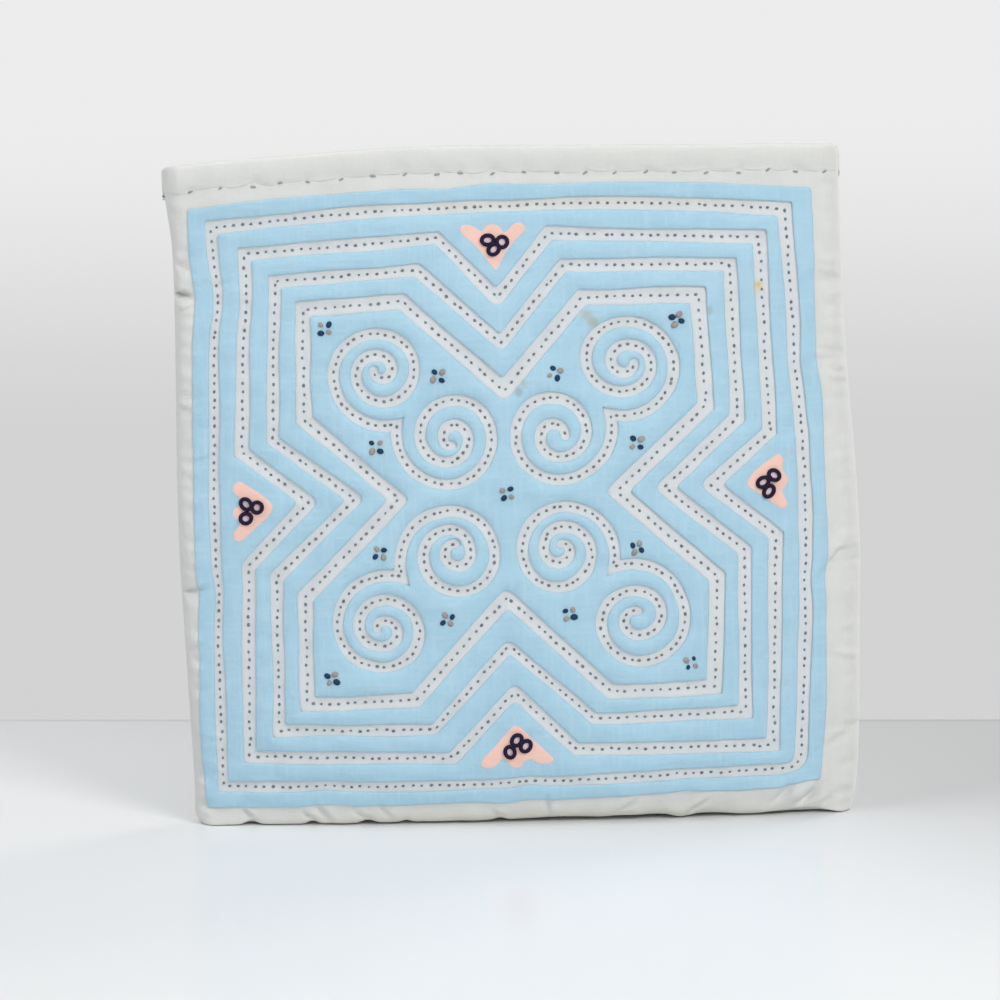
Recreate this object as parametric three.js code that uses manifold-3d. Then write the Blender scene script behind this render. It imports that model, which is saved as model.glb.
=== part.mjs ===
// Soft square zipper pouch with a reverse applique face: a padded cotton bag that stands on its lower edge.
// Millimetres, +Z up, the decorated face looks along -Y, and the bag stands on z = 0.
import * as THREE from 'three';
import Module from 'manifold-3d';
import { mergeVertices } from 'three/addons/utils/BufferGeometryUtils.js';

// Cloth and gaps
const WALL = 1.5; // padded cotton wall of the two panels
const GAP = 0.3; // clearance between pieces that lie on each other
const BLUE_LIFT = 0.4; // clearance under the blue layer
const BLUE_THICKNESS = 1.0;
const PINK_THICKNESS = 1.0;
const HEM_THICKNESS = 1.0;
const TAPE_THICKNESS = 1.0;

// Body of the bag
const EDGE_DEPTH = 4.0; // half depth beside the side seams
const BASE_DEPTH = 6.5; // half depth of the flat base in its middle
const BASE_HEIGHT = 1.5; // the base is one layer of the same wall
const RIM_DEPTH = 0.3; // half depth at the seam line itself
const FOLD_FLOOR = 1.0; // least half depth that a fold leaves
const EDGE_RADIUS = 3.6; // round-over from the face to the seam line
const CROWN_POWER = 2.4; // how full the face is from side to side
const ROLL_HEIGHT = 14; // height of the rounded lower edge
const BACK_FULLNESS = 1.197; // the plain back bulges as far as the face with its patches
const BACK_DROP = 1.4; // the back stands this much lower than the front

// Heights of the bag with the side edges and the middle half depth there
const SECTIONS = [
  { z: 0, left: -72.6, right: 73.6, depth: 12.5 },
  { z: 3, left: -74.4, right: 75.9, depth: 12.6 },
  { z: 10, left: -74.8, right: 76.8, depth: 12.7 },
  { z: 28, left: -75.7, right: 77.2, depth: 13.1 },
  { z: 45, left: -76.1, right: 77.4, depth: 13.1 },
  { z: 61, left: -76.0, right: 77.7, depth: 12.8 },
  { z: 80, left: -76.4, right: 76.7, depth: 12.1 },
  { z: 100, left: -76.2, right: 75.3, depth: 11.0 },
  { z: 121, left: -75.9, right: 74.2, depth: 9.6 },
  { z: 136, left: -76.5, right: 73.8, depth: 8.5 },
  { z: 155, left: -77.4, right: 73.2, depth: 7.6 },
];

// Bowed top edge of the bag, at the crest of the front hem
const TOP_EDGE = [
  { x: -77.7, z: 150.2 },
  { x: -66, z: 151.4 },
  { x: -44, z: 152.8 },
  { x: -22, z: 153.9 },
  { x: 20, z: 153.4 },
  { x: 64, z: 152.6 },
  { x: 73, z: 152.2 },
];

// Pinched folds: along the lower edge at x, and along the side edges at z
const FOLDS = [
  { edge: 'bottom', at: -62, depth: 1.5, spread: 2.2, reach: 7 },
  { edge: 'bottom', at: -48, depth: 1.2, spread: 2.2, reach: 6 },
  { edge: 'bottom', at: -35, depth: 1.1, spread: 2.2, reach: 6 },
  { edge: 'bottom', at: -21, depth: 0.8, spread: 2.2, reach: 5 },
  { edge: 'bottom', at: -5, depth: 1.1, spread: 2.2, reach: 6 },
  { edge: 'bottom', at: 13, depth: 1.1, spread: 2.2, reach: 6 },
  { edge: 'bottom', at: 27, depth: 0.9, spread: 2.2, reach: 5 },
  { edge: 'bottom', at: 37, depth: 1.2, spread: 2.2, reach: 6 },
  { edge: 'bottom', at: 60, depth: 1.6, spread: 2.6, reach: 8 },
  { edge: 'left', at: 122.5, depth: 1.8, spread: 2.4, reach: 4 },
  { edge: 'left', at: 54, depth: 1.2, spread: 2.6, reach: 4 },
  { edge: 'right', at: 122, depth: 0.8, spread: 2.6, reach: 5 },
  { edge: 'right', at: 104.5, depth: 0.8, spread: 2.6, reach: 5 },
  { edge: 'right', at: 58, depth: 1.2, spread: 3.0, reach: 6 },
  { edge: 'right', at: 20, depth: 1.2, spread: 3.0, reach: 6 },
];

// Hem folded over the top edge
const HEM_HEIGHT = 5.2;
const HEM_PUFF = 0.4; // how far its middle swells
const HEM_BEVEL = 0.6;
const HEM_LEFT = -77.7;
const HEM_RIGHT = 73.6;

// Blue layer: corners of its outer edge and how far each side bows outwards
const BLUE_EDGE = {
  topLeft: [-72.3, 141.0],
  topRight: [67.2, 142.8],
  bottomRight: [67.7, 7.3],
  bottomLeft: [-72.2, 4.6],
  bow: { top: 3.1, right: 2.3, bottom: 0.1, left: 0.3 },
};

// Outer white band, a bowed square, by its centre line
const SQUARE_BAND = {
  width: 2.9,
  topLeft: [-67.1, 136.6],
  topRight: [61.2, 138.3],
  bottomRight: [63.7, 11.6],
  bottomLeft: [-68.8, 9.6],
  bow: { top: 3.1, right: 2.4, bottom: 0.5, left: 0.4 },
};

// Three inner white bands, by the corners of their centre lines
// Each side dips to a notch between two shoulders
const STAR_BANDS = [
  {
    width: 3.1,
    topLeft: [-60.0, 131.6], topShoulderLeft: [-16.6, 133.6], topNotch: [-3.5, 120.0],
    topShoulderRight: [8.4, 134.1], topRight: [55.1, 132.0], rightShoulderTop: [56.4, 88.5],
    rightNotch: [43.6, 76.9], rightShoulderBottom: [58.6, 64.9], bottomRight: [57.6, 16.8],
    bottomShoulderRight: [12.3, 17.6], bottomNotch: [-1.4, 31.0], bottomShoulderLeft: [-15.7, 16.1],
    bottomLeft: [-61.9, 16.4], leftShoulderBottom: [-61.0, 60.2], leftNotch: [-46.9, 74.8],
    leftShoulderTop: [-61.6, 86.1],
  },
  {
    width: 3.0,
    topLeft: [-53.4, 125.1], topShoulderLeft: [-21.2, 126.5], topNotch: [-2.8, 109.7],
    topShoulderRight: [11.4, 127.0], topRight: [48.7, 126.2], rightShoulderTop: [49.9, 91.7],
    rightNotch: [33.2, 76.6], rightShoulderBottom: [51.0, 61.7], bottomRight: [50.8, 24.8],
    bottomShoulderRight: [16.3, 24.4], bottomNotch: [-2.5, 41.8], bottomShoulderLeft: [-19.6, 22.8],
    bottomLeft: [-54.3, 22.6], leftShoulderBottom: [-54.2, 57.9], leftNotch: [-36.3, 75.4],
    leftShoulderTop: [-54.5, 88.8],
  },
  {
    width: 3.3,
    topLeft: [-47.1, 118.7], topShoulderLeft: [-24.7, 119.5], topNotch: [-2.4, 99.2],
    topShoulderRight: [15.5, 119.8], topRight: [41.4, 119.5], rightShoulderTop: [42.8, 94.7],
    rightNotch: [22.4, 76.0], rightShoulderBottom: [44.8, 56.0], bottomRight: [43.8, 30.9],
    bottomShoulderRight: [20.2, 30.5], bottomNotch: [-2.7, 52.7], bottomShoulderLeft: [-23.7, 29.6],
    bottomLeft: [-48.4, 28.7], leftShoulderBottom: [-48.2, 53.2], leftNotch: [-26.4, 75.3],
    leftShoulderTop: [-47.3, 93.2],
  },
];

// Double snail spirals: two spirals that share a cusp; turn is +1 counterclockwise and -1 clockwise going in
const SPIRAL_WIDTH = 2.7;
const SPIRAL_STEP = 3.4; // spacing of the points along a spiral
const SPIRAL_PAIRS = [
  {
    cusp: [-26.5, 92.1],
    outer: { centre: [-30.0, 104.2], turn: -1 },
    inner: { centre: [-14.3, 88.1], turn: 1 },
  },
  {
    cusp: [21.4, 93.3],
    outer: { centre: [25.2, 105.0], turn: 1 },
    inner: { centre: [9.0, 88.5], turn: -1 },
  },
  {
    cusp: [-26.2, 57.6],
    outer: { centre: [-31.2, 45.9], turn: 1 },
    inner: { centre: [-13.7, 63.3], turn: -1 },
  },
  {
    cusp: [21.4, 58.9],
    outer: { centre: [27.1, 47.4], turn: -1 },
    inner: { centre: [9.4, 63.7], turn: 1 },
  },
];
// Radius of a spiral after each quarter turn from its cusp
const SPIRAL_RADII = [12.5, 10.5, 9.3, 8.9, 7.0, 5.1, 3.8, 3.3, 2.2];

// Pink patches: middle of the outer edge, the way the tip points in degrees, half width and depth
const PINK_PATCHES = [
  { name: 'pink_top', middle: [-4.1, 136.2], heading: -90, half: 7.5, depth: 9.8 },
  { name: 'pink_right', middle: [60.7, 77.1], heading: 180, half: 5.9, depth: 8.6 },
  { name: 'pink_bottom', middle: [-1.1, 14.7], heading: 90, half: 8.4, depth: 9.6 },
  { name: 'pink_left', middle: [-63.1, 73.0], heading: 0, half: 6.7, depth: 8.2 },
];
// Half of a patch's outline from the outer edge's middle to the tip: across in half widths, in depths
const PINK_OUTLINE = [
  [0, -0.02], [0.2, 0.02], [0.38, 0.2], [0.62, 0.02], [0.9, 0], [1, 0.12], [0.6, 0.42], [0.07, 0.97], [0, 1],
];

// Zipper, sunk between the two hems
const ZIPPER_SINK = 4.4; // depth of the tape's top below the hem's crest
const ZIPPER_LEFT = -74; // its ends reach into the side seams
const ZIPPER_RIGHT = 71;
const TAPE_LEG = 6; // part of the tape that is sewn down along the panel
const TAPE_LEAST = 0.2; // least width of the tape's flange
const CHAIN_HALF_WIDTH = 1.0;
const TOOTH_DEPTH = 0.4;
const TOOTH_PITCH = 4;
const CHAIN_HEIGHT = 1.6;
const SLIDER = { x: 50, length: 8, width: 5.4, height: 1.5 };
const PULL = { length: 15, width: 4, height: 0.7, holeRadius: 1, overlap: 0.2 };

// Mesh resolution
const FRONT_COLUMNS = 40;
const BACK_COLUMNS = 22;
const HEM_COLUMNS = 26;
const TAPE_COLUMNS = 16;
const COLUMN_CROWDING = 0.03; // crowds a panel's columns towards its sides and middle
const BASE_COLUMNS = 40;
// Heights of the panels' rows above their lower edge, scaled so that the last is the top edge
const FRONT_ROWS = [0, 1, 3, 6, 10, 18, 32, 50, 70, 92, 107, 121, 136, 150];
const BACK_ROWS = [0, 1, 3, 6, 10, 28, 60, 92, 125, 150];
const MITRE_LEAST = 0.5; // sharpest mitre, as the cosine of half its turn
const DRAPE_EDGE = 12; // longest edge of a draped sheet's triangles
// Where a band's shoulder, notch and shoulder sit along each side, and the steps of the four runs between
const SIDE_STATIONS = [0, 0.38, 0.49, 0.6, 1];
const RUN_STEPS = [5, 3, 3, 5];

const WHITE = { color: 0xd9dcd9, roughness: 0.9, metalness: 0 };
const BLUE = { color: 0xa9d2e7, roughness: 0.88, metalness: 0 };
const PINK = { color: 0xfac3b4, roughness: 0.88, metalness: 0 };
const TAPE = { color: 0xcfd0cc, roughness: 0.9, metalness: 0 };
const TEETH = { color: 0xc9cac6, roughness: 0.5, metalness: 0 };
const METAL = { color: 0xb9babd, roughness: 0.35, metalness: 1 };

const wasm = await Module();
wasm.setup();

// Value of a table's column at a height or place, smooth between its rows
function fromTable(rows, key, column, at) {
  const last = rows.length - 1;
  if (at <= rows[0][key]) return rows[0][column];
  if (at >= rows[last][key]) return rows[last][column];
  const i = rows.findIndex((row) => row[key] > at) - 1;
  const slope = (j) => {
    const a = rows[Math.max(j - 1, 0)];
    const b = rows[Math.min(j + 1, last)];
    return (b[column] - a[column]) / (b[key] - a[key]);
  };
  const span = rows[i + 1][key] - rows[i][key];
  const t = (at - rows[i][key]) / span;
  const curve = t * t * (3 - 2 * t);
  return (
    rows[i][column] * (1 - curve) +
    rows[i + 1][column] * curve +
    span * t * (1 - t) * ((1 - t) * slope(i) - t * slope(i + 1))
  );
}

const leftEdge = (z) => fromTable(SECTIONS, 'z', 'left', z);
const rightEdge = (z) => fromTable(SECTIONS, 'z', 'right', z);
const topEdge = (x) => fromTable(TOP_EDGE, 'x', 'z', x);

// Share of the full depth that is left at a distance into a quarter-round edge
function roundOver(distance, radius) {
  const rest = 1 - Math.min(Math.max(distance / radius, 0), 1);
  return Math.sqrt(1 - rest * rest);
}

// Depth of all pinched folds at a place on the face
function foldDepth(x, z) {
  const fade = (distance, reach) => Math.exp(-((distance / reach) ** 2));
  return FOLDS.reduce((sum, fold) => {
    const along = fold.edge === 'bottom' ? x : z;
    const inset = { bottom: z, left: x - leftEdge(z), right: rightEdge(z) - x }[fold.edge];
    return sum + fold.depth * fade(along - fold.at, fold.spread) * fade(inset, fold.reach);
  }, 0);
}

// Half depth of the bag from its middle plane to the cloth's outside
function halfDepth(x, z, folded) {
  const left = leftEdge(z);
  const right = rightEdge(z);
  const across = Math.min(Math.abs((2 * x - left - right) / (right - left)), 1);
  const middle = fromTable(SECTIONS, 'z', 'depth', z);
  const crown = 1 - across ** CROWN_POWER;
  const belly = EDGE_DEPTH + (middle - EDGE_DEPTH) * crown;
  const base = EDGE_DEPTH + (BASE_DEPTH - EDGE_DEPTH) * crown;
  const full = THREE.MathUtils.lerp(base, belly, roundOver(z, ROLL_HEIGHT));
  const dented = folded ? Math.max(full - foldDepth(x, z), FOLD_FLOOR) : full;
  const inset = Math.min(x - left, right - x);
  return RIM_DEPTH + (dented - RIM_DEPTH) * roundOver(inset, EDGE_RADIUS);
}

const frontDepth = (x, z) => halfDepth(x, z, true);
const bridgedDepth = (x, z) => halfDepth(x, z, false); // what lies on the face bridges its folds
const backDepth = (x, z) => halfDepth(x, z, false) * BACK_FULLNESS;

function geometryFrom(points, triangles) {
  const geometry = new THREE.BufferGeometry();
  const flat = points.flatMap((p) => [p.x, p.y, p.z]);
  geometry.setAttribute('position', new THREE.Float32BufferAttribute(flat, 3));
  const volume = triangles.reduce((sum, [a, b, c]) => {
    return sum + points[a].dot(new THREE.Vector3().crossVectors(points[b], points[c]));
  }, 0);
  geometry.setIndex(triangles.flatMap(([a, b, c]) => (volume > 0 ? [a, b, c] : [a, c, b])));
  geometry.computeVertexNormals();
  return geometry;
}

// Closed wall between an outer and an inner grid of points with equal rows and columns
function wallGeometry(outer, inner) {
  const rows = outer.length;
  const columns = outer[0].length;
  const points = [...outer.flat(), ...inner.flat()];
  const triangles = [];
  const at = (layer, r, c) => layer * rows * columns + r * columns + c;
  const quad = (a, b, c, d) => triangles.push([a, b, c], [a, c, d]);
  for (let r = 0; r < rows - 1; r++) {
    for (let c = 0; c < columns - 1; c++) {
      quad(at(0, r, c), at(0, r, c + 1), at(0, r + 1, c + 1), at(0, r + 1, c));
      quad(at(1, r + 1, c), at(1, r + 1, c + 1), at(1, r, c + 1), at(1, r, c));
    }
  }
  for (let c = 0; c < columns - 1; c++) {
    quad(at(0, 0, c + 1), at(0, 0, c), at(1, 0, c), at(1, 0, c + 1));
    quad(at(0, rows - 1, c), at(0, rows - 1, c + 1), at(1, rows - 1, c + 1), at(1, rows - 1, c));
  }
  for (let r = 0; r < rows - 1; r++) {
    quad(at(0, r, 0), at(0, r + 1, 0), at(1, r + 1, 0), at(1, r, 0));
    quad(at(0, r + 1, columns - 1), at(0, r, columns - 1), at(1, r, columns - 1), at(1, r + 1, columns - 1));
  }
  return geometryFrom(points, triangles);
}

// Closed bar through equal sections, each a list of points in order
function loftGeometry(sections) {
  const count = sections[0].length;
  const points = sections.flat();
  const triangles = [];
  for (let s = 0; s < sections.length - 1; s++) {
    for (let i = 0; i < count; i++) {
      const a = s * count + i;
      const b = s * count + ((i + 1) % count);
      triangles.push([a, b, b + count], [a, b + count, a + count]);
    }
  }
  const last = (sections.length - 1) * count;
  const outline = sections[0].map((p) => new THREE.Vector2(p.y, p.z));
  const caps = THREE.ShapeUtils.triangulateShape(outline, []);
  const turned = THREE.ShapeUtils.isClockWise(outline);
  for (const [a, b, c] of caps) {
    const start = turned ? [a, b, c] : [a, c, b];
    triangles.push(start, [last + start[0], last + start[2], last + start[1]]);
  }
  return geometryFrom(points, triangles);
}

// One panel: a curved wall from just above the base up to the top edge, bent round to the side seams
function panelGeometry(depth, side, heights, columns, drop) {
  const bottom = BASE_HEIGHT + GAP;
  const top = (x) => topEdge(x) - drop - HEM_THICKNESS - GAP;
  const highest = heights[heights.length - 1];
  const layer = (inset) =>
    heights.map((height) =>
      Array.from({ length: columns + 1 }, (_, i) => {
        const t = i / columns;
        const spread = t - COLUMN_CROWDING * Math.sin(4 * Math.PI * t);
        const level = THREE.MathUtils.lerp(bottom, top(0), height / highest);
        const x = THREE.MathUtils.lerp(leftEdge(level) + inset, rightEdge(level) - inset, spread);
        const z = THREE.MathUtils.lerp(bottom, top(x), height / highest);
        return new THREE.Vector3(x, side * (depth(x, z) - inset), z);
      }),
    );
  return wallGeometry(layer(0), layer(WALL));
}

// Flattened lower fold that the bag stands on, from side to side
function baseGeometry() {
  const heights = [BASE_HEIGHT, BASE_HEIGHT / 3, 0];
  const sections = Array.from({ length: BASE_COLUMNS + 1 }, (_, i) => {
    const x = THREE.MathUtils.lerp(leftEdge(0), rightEdge(0), i / BASE_COLUMNS);
    const front = heights.map((z) => new THREE.Vector3(x, -frontDepth(x, z), z));
    const back = heights.map((z) => new THREE.Vector3(x, backDepth(x, z), z));
    return [...front, ...back.reverse()];
  });
  return loftGeometry(sections);
}

// Folded band over a panel's top edge, an upside-down L in section with a puffed outer face
function hemGeometry(depth, side, drop) {
  const sections = Array.from({ length: HEM_COLUMNS + 1 }, (_, i) => {
    const x = THREE.MathUtils.lerp(HEM_LEFT, HEM_RIGHT, i / HEM_COLUMNS);
    const crest = topEdge(x) - drop;
    const foot = crest - HEM_HEIGHT;
    const inside = THREE.MathUtils.clamp(x, leftEdge(foot) + EDGE_RADIUS, rightEdge(foot) - EDGE_RADIUS);
    const cloth = depth(inside, foot);
    const outside = cloth + GAP + HEM_THICKNESS;
    const point = (y, z) => new THREE.Vector3(x, side * y, z);
    return [
      point(outside, foot),
      point(outside + HEM_PUFF, crest - HEM_HEIGHT / 2),
      point(outside, crest - HEM_BEVEL),
      point(outside - HEM_BEVEL, crest),
      point(cloth - WALL, crest),
      point(cloth - WALL, crest - HEM_THICKNESS),
      point(cloth + GAP, crest - HEM_THICKNESS),
      point(cloth + GAP, foot),
    ];
  });
  return loftGeometry(sections);
}

// Side of a bowed square from one corner towards the next, at the stations of a band's side
function bowedSide(from, to, bow) {
  const [dx, dz] = [to[0] - from[0], to[1] - from[1]];
  const length = Math.hypot(dx, dz);
  return RUN_STEPS.flatMap((steps, run) =>
    Array.from({ length: steps }, (_, i) => {
      const t = THREE.MathUtils.lerp(SIDE_STATIONS[run], SIDE_STATIONS[run + 1], i / steps);
      const out = (bow * Math.sin(Math.PI * t)) / length;
      return new THREE.Vector2(from[0] + dx * t - dz * out, from[1] + dz * t + dx * out);
    }),
  );
}

// Bowed square, going clockwise from its top left corner
function bowedSquare({ topLeft, topRight, bottomRight, bottomLeft, bow }) {
  return [
    ...bowedSide(topLeft, topRight, bow.top),
    ...bowedSide(topRight, bottomRight, bow.right),
    ...bowedSide(bottomRight, bottomLeft, bow.bottom),
    ...bowedSide(bottomLeft, topLeft, bow.left),
  ];
}

// Corners of a star band in clockwise order
function starCorners(band) {
  return Object.entries(band)
    .filter(([name]) => name !== 'width')
    .map(([, [x, z]]) => new THREE.Vector2(x, z));
}

// Closed line through corners with the steps of each run between them
function steppedLoop(corners) {
  return corners.flatMap((corner, i) => {
    const next = corners[(i + 1) % corners.length];
    const steps = RUN_STEPS[i % RUN_STEPS.length];
    return Array.from({ length: steps }, (_, j) => corner.clone().lerp(next, j / steps));
  });
}

// Point of a line moved sideways to its left, mitred between its two neighbours
function mitred(before, point, after, distance) {
  const a = point.clone().sub(before).normalize();
  const b = after.clone().sub(point).normalize();
  const normal = new THREE.Vector2(-a.y - b.y, a.x + b.x).normalize();
  const stretch = Math.max(normal.dot(new THREE.Vector2(-a.y, a.x)), MITRE_LEAST);
  return normal.multiplyScalar(distance / stretch).add(point);
}

// Closed line moved sideways; a clockwise line grows with a positive distance
function offsetLoop(loop, distance) {
  const at = (i) => loop[(i + loop.length) % loop.length];
  return loop.map((point, i) => mitred(at(i - 1), point, at(i + 1), distance));
}

// One snail spiral as points from its cusp in to its middle
function spiralLine(cusp, { centre, turn }) {
  const start = Math.atan2(cusp[1] - centre[1], cusp[0] - centre[0]);
  const quarters = SPIRAL_RADII.map((radius, quarter) => ({ quarter, radius }));
  const first = Math.hypot(cusp[0] - centre[0], cusp[1] - centre[1]);
  const points = [];
  let quarter = 0;
  while (quarter < SPIRAL_RADII.length - 1) {
    const blend = Math.max(1 - quarter, 0);
    const radius = fromTable(quarters, 'quarter', 'radius', quarter) + (first - SPIRAL_RADII[0]) * blend;
    const angle = start + (turn * quarter * Math.PI) / 2;
    const arm = new THREE.Vector2(Math.cos(angle), Math.sin(angle)).multiplyScalar(radius);
    points.push(arm.add(new THREE.Vector2(...centre)));
    quarter += SPIRAL_STEP / radius / (Math.PI / 2);
  }
  return points;
}

// Outline of the channel that a pair of spirals leaves in the blue field
function spiralChannel(pair) {
  const outer = spiralLine(pair.cusp, pair.outer);
  const inner = spiralLine(pair.cusp, pair.inner);
  const line = [...outer.reverse(), ...inner.slice(1)];
  const last = line.length - 1;
  const side = (distance) =>
    line.map((point, i) => {
      const before = i > 0 ? line[i - 1] : point.clone().multiplyScalar(2).sub(line[1]);
      const after = i < last ? line[i + 1] : point.clone().multiplyScalar(2).sub(line[last - 1]);
      return mitred(before, point, after, distance);
    });
  const cap = (end, inner) => end.clone().sub(inner).setLength(SPIRAL_WIDTH / 2).add(end);
  return [
    ...side(SPIRAL_WIDTH / 2),
    cap(line[last], line[last - 1]),
    ...side(-SPIRAL_WIDTH / 2).reverse(),
    cap(line[0], line[1]),
  ];
}

// Triangles of a flat shape, split until no edge is longer than the limit
function fineTriangles(contour, holes) {
  const points = [contour, ...holes].flat();
  let triangles = THREE.ShapeUtils.triangulateShape(contour, holes);
  let split = true;
  while (split) {
    const middles = new Map();
    const middle = (a, b) => {
      const key = a < b ? `${a},${b}` : `${b},${a}`;
      if (points[a].distanceTo(points[b]) <= DRAPE_EDGE) return -1;
      if (!middles.has(key)) middles.set(key, points.push(points[a].clone().lerp(points[b], 0.5)) - 1);
      return middles.get(key);
    };
    triangles = triangles.flatMap((triangle) => splitTriangle(triangle, points, middle));
    split = middles.size > 0;
  }
  return { points, triangles };
}

// A triangle cut at the middle of its longest edge, if that edge is too long
function splitTriangle(triangle, points, middle) {
  const lengths = [0, 1, 2].map((i) => points[triangle[i]].distanceTo(points[triangle[(i + 1) % 3]]));
  const cuts = [0, 1, 2].map((i) => middle(triangle[i], triangle[(i + 1) % 3]));
  const longest = lengths.indexOf(Math.max(...lengths));
  const [a, b, c] = [0, 1, 2].map((i) => triangle[(longest + i) % 3]);
  const [ab, bc, ca] = [0, 1, 2].map((i) => cuts[(longest + i) % 3]);
  if (ab < 0) return [triangle];
  const near = ca < 0 ? [[a, ab, c]] : [[a, ab, ca], [ca, ab, c]];
  const far = bc < 0 ? [[ab, b, c]] : [[ab, b, bc], [ab, bc, c]];
  return [...near, ...far];
}

// Sheet of cloth with a flat outline, laid over the face at a lift above it
function drapedGeometry(contour, holes, lift, thickness) {
  const { points, triangles } = fineTriangles(contour, holes);
  const used = new Map();
  const solid = [];
  const layer = (index) => {
    if (!used.has(index)) {
      const { x, y: z } = points[index];
      const under = bridgedDepth(x, z) + lift;
      used.set(index, solid.push(new THREE.Vector3(x, -under, z)) - 1);
      solid.push(new THREE.Vector3(x, -under - thickness, z));
    }
    return used.get(index);
  };
  const faces = [];
  const borders = new Map();
  for (const corners of triangles) {
    const [a, b, c] = corners.map((index) => points[index]);
    const turned = b.clone().sub(a).cross(c.clone().sub(a)) < 0;
    const [i, j, k] = (turned ? [corners[0], corners[2], corners[1]] : corners).map(layer);
    faces.push([i, k, j], [i + 1, j + 1, k + 1]);
    for (const [from, to] of [[i, j], [j, k], [k, i]]) {
      if (!borders.delete(`${to},${from}`)) borders.set(`${from},${to}`, [from, to]);
    }
  }
  for (const [from, to] of borders.values()) faces.push([from, to, to + 1], [from, to + 1, from + 1]);
  return geometryFrom(solid, faces);
}

// Ring of cloth between two closed lines with equally many points, laid over the face
function ringGeometry(outer, inner, rows, lift, thickness) {
  const count = outer.length;
  const points = [];
  for (let row = 0; row <= rows; row++) {
    outer.forEach((point, i) => {
      const { x, y: z } = point.clone().lerp(inner[i], row / rows);
      const under = bridgedDepth(x, z) + lift;
      points.push(new THREE.Vector3(x, -under, z), new THREE.Vector3(x, -under - thickness, z));
    });
  }
  const at = (row, i, layer) => 2 * (row * count + (i % count)) + layer;
  const triangles = [];
  const quad = (a, b, c, d) => triangles.push([a, b, c], [a, c, d]);
  for (let i = 0; i < count; i++) {
    for (let row = 0; row < rows; row++) {
      quad(at(row, i, 1), at(row + 1, i, 1), at(row + 1, i + 1, 1), at(row, i + 1, 1));
      quad(at(row, i, 0), at(row, i + 1, 0), at(row + 1, i + 1, 0), at(row + 1, i, 0));
    }
    quad(at(0, i, 0), at(0, i, 1), at(0, i + 1, 1), at(0, i + 1, 0));
    quad(at(rows, i, 0), at(rows, i + 1, 0), at(rows, i + 1, 1), at(rows, i, 1));
  }
  return geometryFrom(points, triangles);
}

// Outline of a pink patch, its half outline mirrored and turned towards the tip
function pinkOutline({ middle, heading, half, depth }) {
  const angle = THREE.MathUtils.degToRad(heading);
  const right = PINK_OUTLINE.map(([across, inward]) => [across * half, inward * depth]);
  const left = right.slice(1, -1).reverse().map(([across, inward]) => [-across, inward]);
  return [...right, ...left].map(([across, inward]) => {
    const x = middle[0] + inward * Math.cos(angle) - across * Math.sin(angle);
    const z = middle[1] + inward * Math.sin(angle) + across * Math.cos(angle);
    return new THREE.Vector2(x, z);
  });
}

const zipperTop = (x) => topEdge(x) - BACK_DROP - ZIPPER_SINK;

// Zipper tape: a flange towards the chain and a leg sewn down along the panel's inside
function tapeGeometry(depth, side) {
  const sections = Array.from({ length: TAPE_COLUMNS + 1 }, (_, i) => {
    const x = THREE.MathUtils.lerp(ZIPPER_LEFT, ZIPPER_RIGHT, i / TAPE_COLUMNS);
    const top = zipperTop(x);
    const foot = top - TAPE_LEG;
    const outside = Math.min(depth(x, top), depth(x, foot)) - WALL - 2 * GAP;
    const chain = CHAIN_HALF_WIDTH + GAP;
    const inside = Math.max(outside - TAPE_THICKNESS, chain + TAPE_LEAST);
    const point = (y, z) => new THREE.Vector3(x, side * y, z);
    return [
      point(outside, top),
      point(chain, top),
      point(chain, top - TAPE_THICKNESS),
      point(inside, top - TAPE_THICKNESS),
      point(inside, foot),
      point(outside, foot),
    ];
  });
  return loftGeometry(sections);
}

// Closed zipper chain: one bar with teeth along both sides, bent along the top edge
function chainGeometry() {
  const teeth = Math.floor((ZIPPER_RIGHT - ZIPPER_LEFT) / TOOTH_PITCH);
  const side = Array.from({ length: 2 * teeth + 1 }, (_, i) => {
    const width = CHAIN_HALF_WIDTH - (i % 2) * TOOTH_DEPTH;
    return new THREE.Vector2(ZIPPER_LEFT + (i * TOOTH_PITCH) / 2, width);
  });
  const outline = new THREE.Shape([...side, ...side.map((p) => new THREE.Vector2(p.x, -p.y)).reverse()]);
  const bar = new THREE.ExtrudeGeometry(outline, { depth: CHAIN_HEIGHT, bevelEnabled: false });
  const position = bar.getAttribute('position');
  for (let i = 0; i < position.count; i++) {
    const lift = zipperTop(position.getX(i)) - (CHAIN_HEIGHT + TAPE_THICKNESS) / 2;
    position.setZ(i, position.getZ(i) + lift);
  }
  bar.computeVertexNormals();
  return bar;
}

function solidFrom(geometry) {
  const bare = geometry.clone();
  bare.deleteAttribute('normal');
  bare.deleteAttribute('uv');
  const merged = mergeVertices(bare);
  return new wasm.Manifold(
    new wasm.Mesh({
      numProp: 3,
      vertProperties: new Float32Array(merged.getAttribute('position').array),
      triVerts: new Uint32Array(merged.getIndex().array),
    }),
  );
}

function geometryOf(solid) {
  const mesh = solid.getMesh();
  const geometry = new THREE.BufferGeometry();
  geometry.setAttribute('position', new THREE.BufferAttribute(mesh.vertProperties, 3));
  geometry.setIndex(new THREE.BufferAttribute(mesh.triVerts, 1));
  geometry.computeVertexNormals();
  return geometry;
}

// Plate with round ends, lying flat, with an optional round hole near its far end
function roundedPlate(length, width, height, holeRadius) {
  const r = width / 2;
  const outline = new THREE.Shape();
  outline.absarc(length / 2 - r, 0, r, -Math.PI / 2, Math.PI / 2);
  outline.absarc(r - length / 2, 0, r, Math.PI / 2, (3 * Math.PI) / 2);
  if (holeRadius > 0) {
    const hole = new THREE.Path();
    hole.absarc(length / 2 - r, 0, holeRadius, 0, 2 * Math.PI, true);
    outline.holes.push(hole);
  }
  return new THREE.ExtrudeGeometry(outline, { depth: height, bevelEnabled: false, curveSegments: 6 });
}

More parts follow.
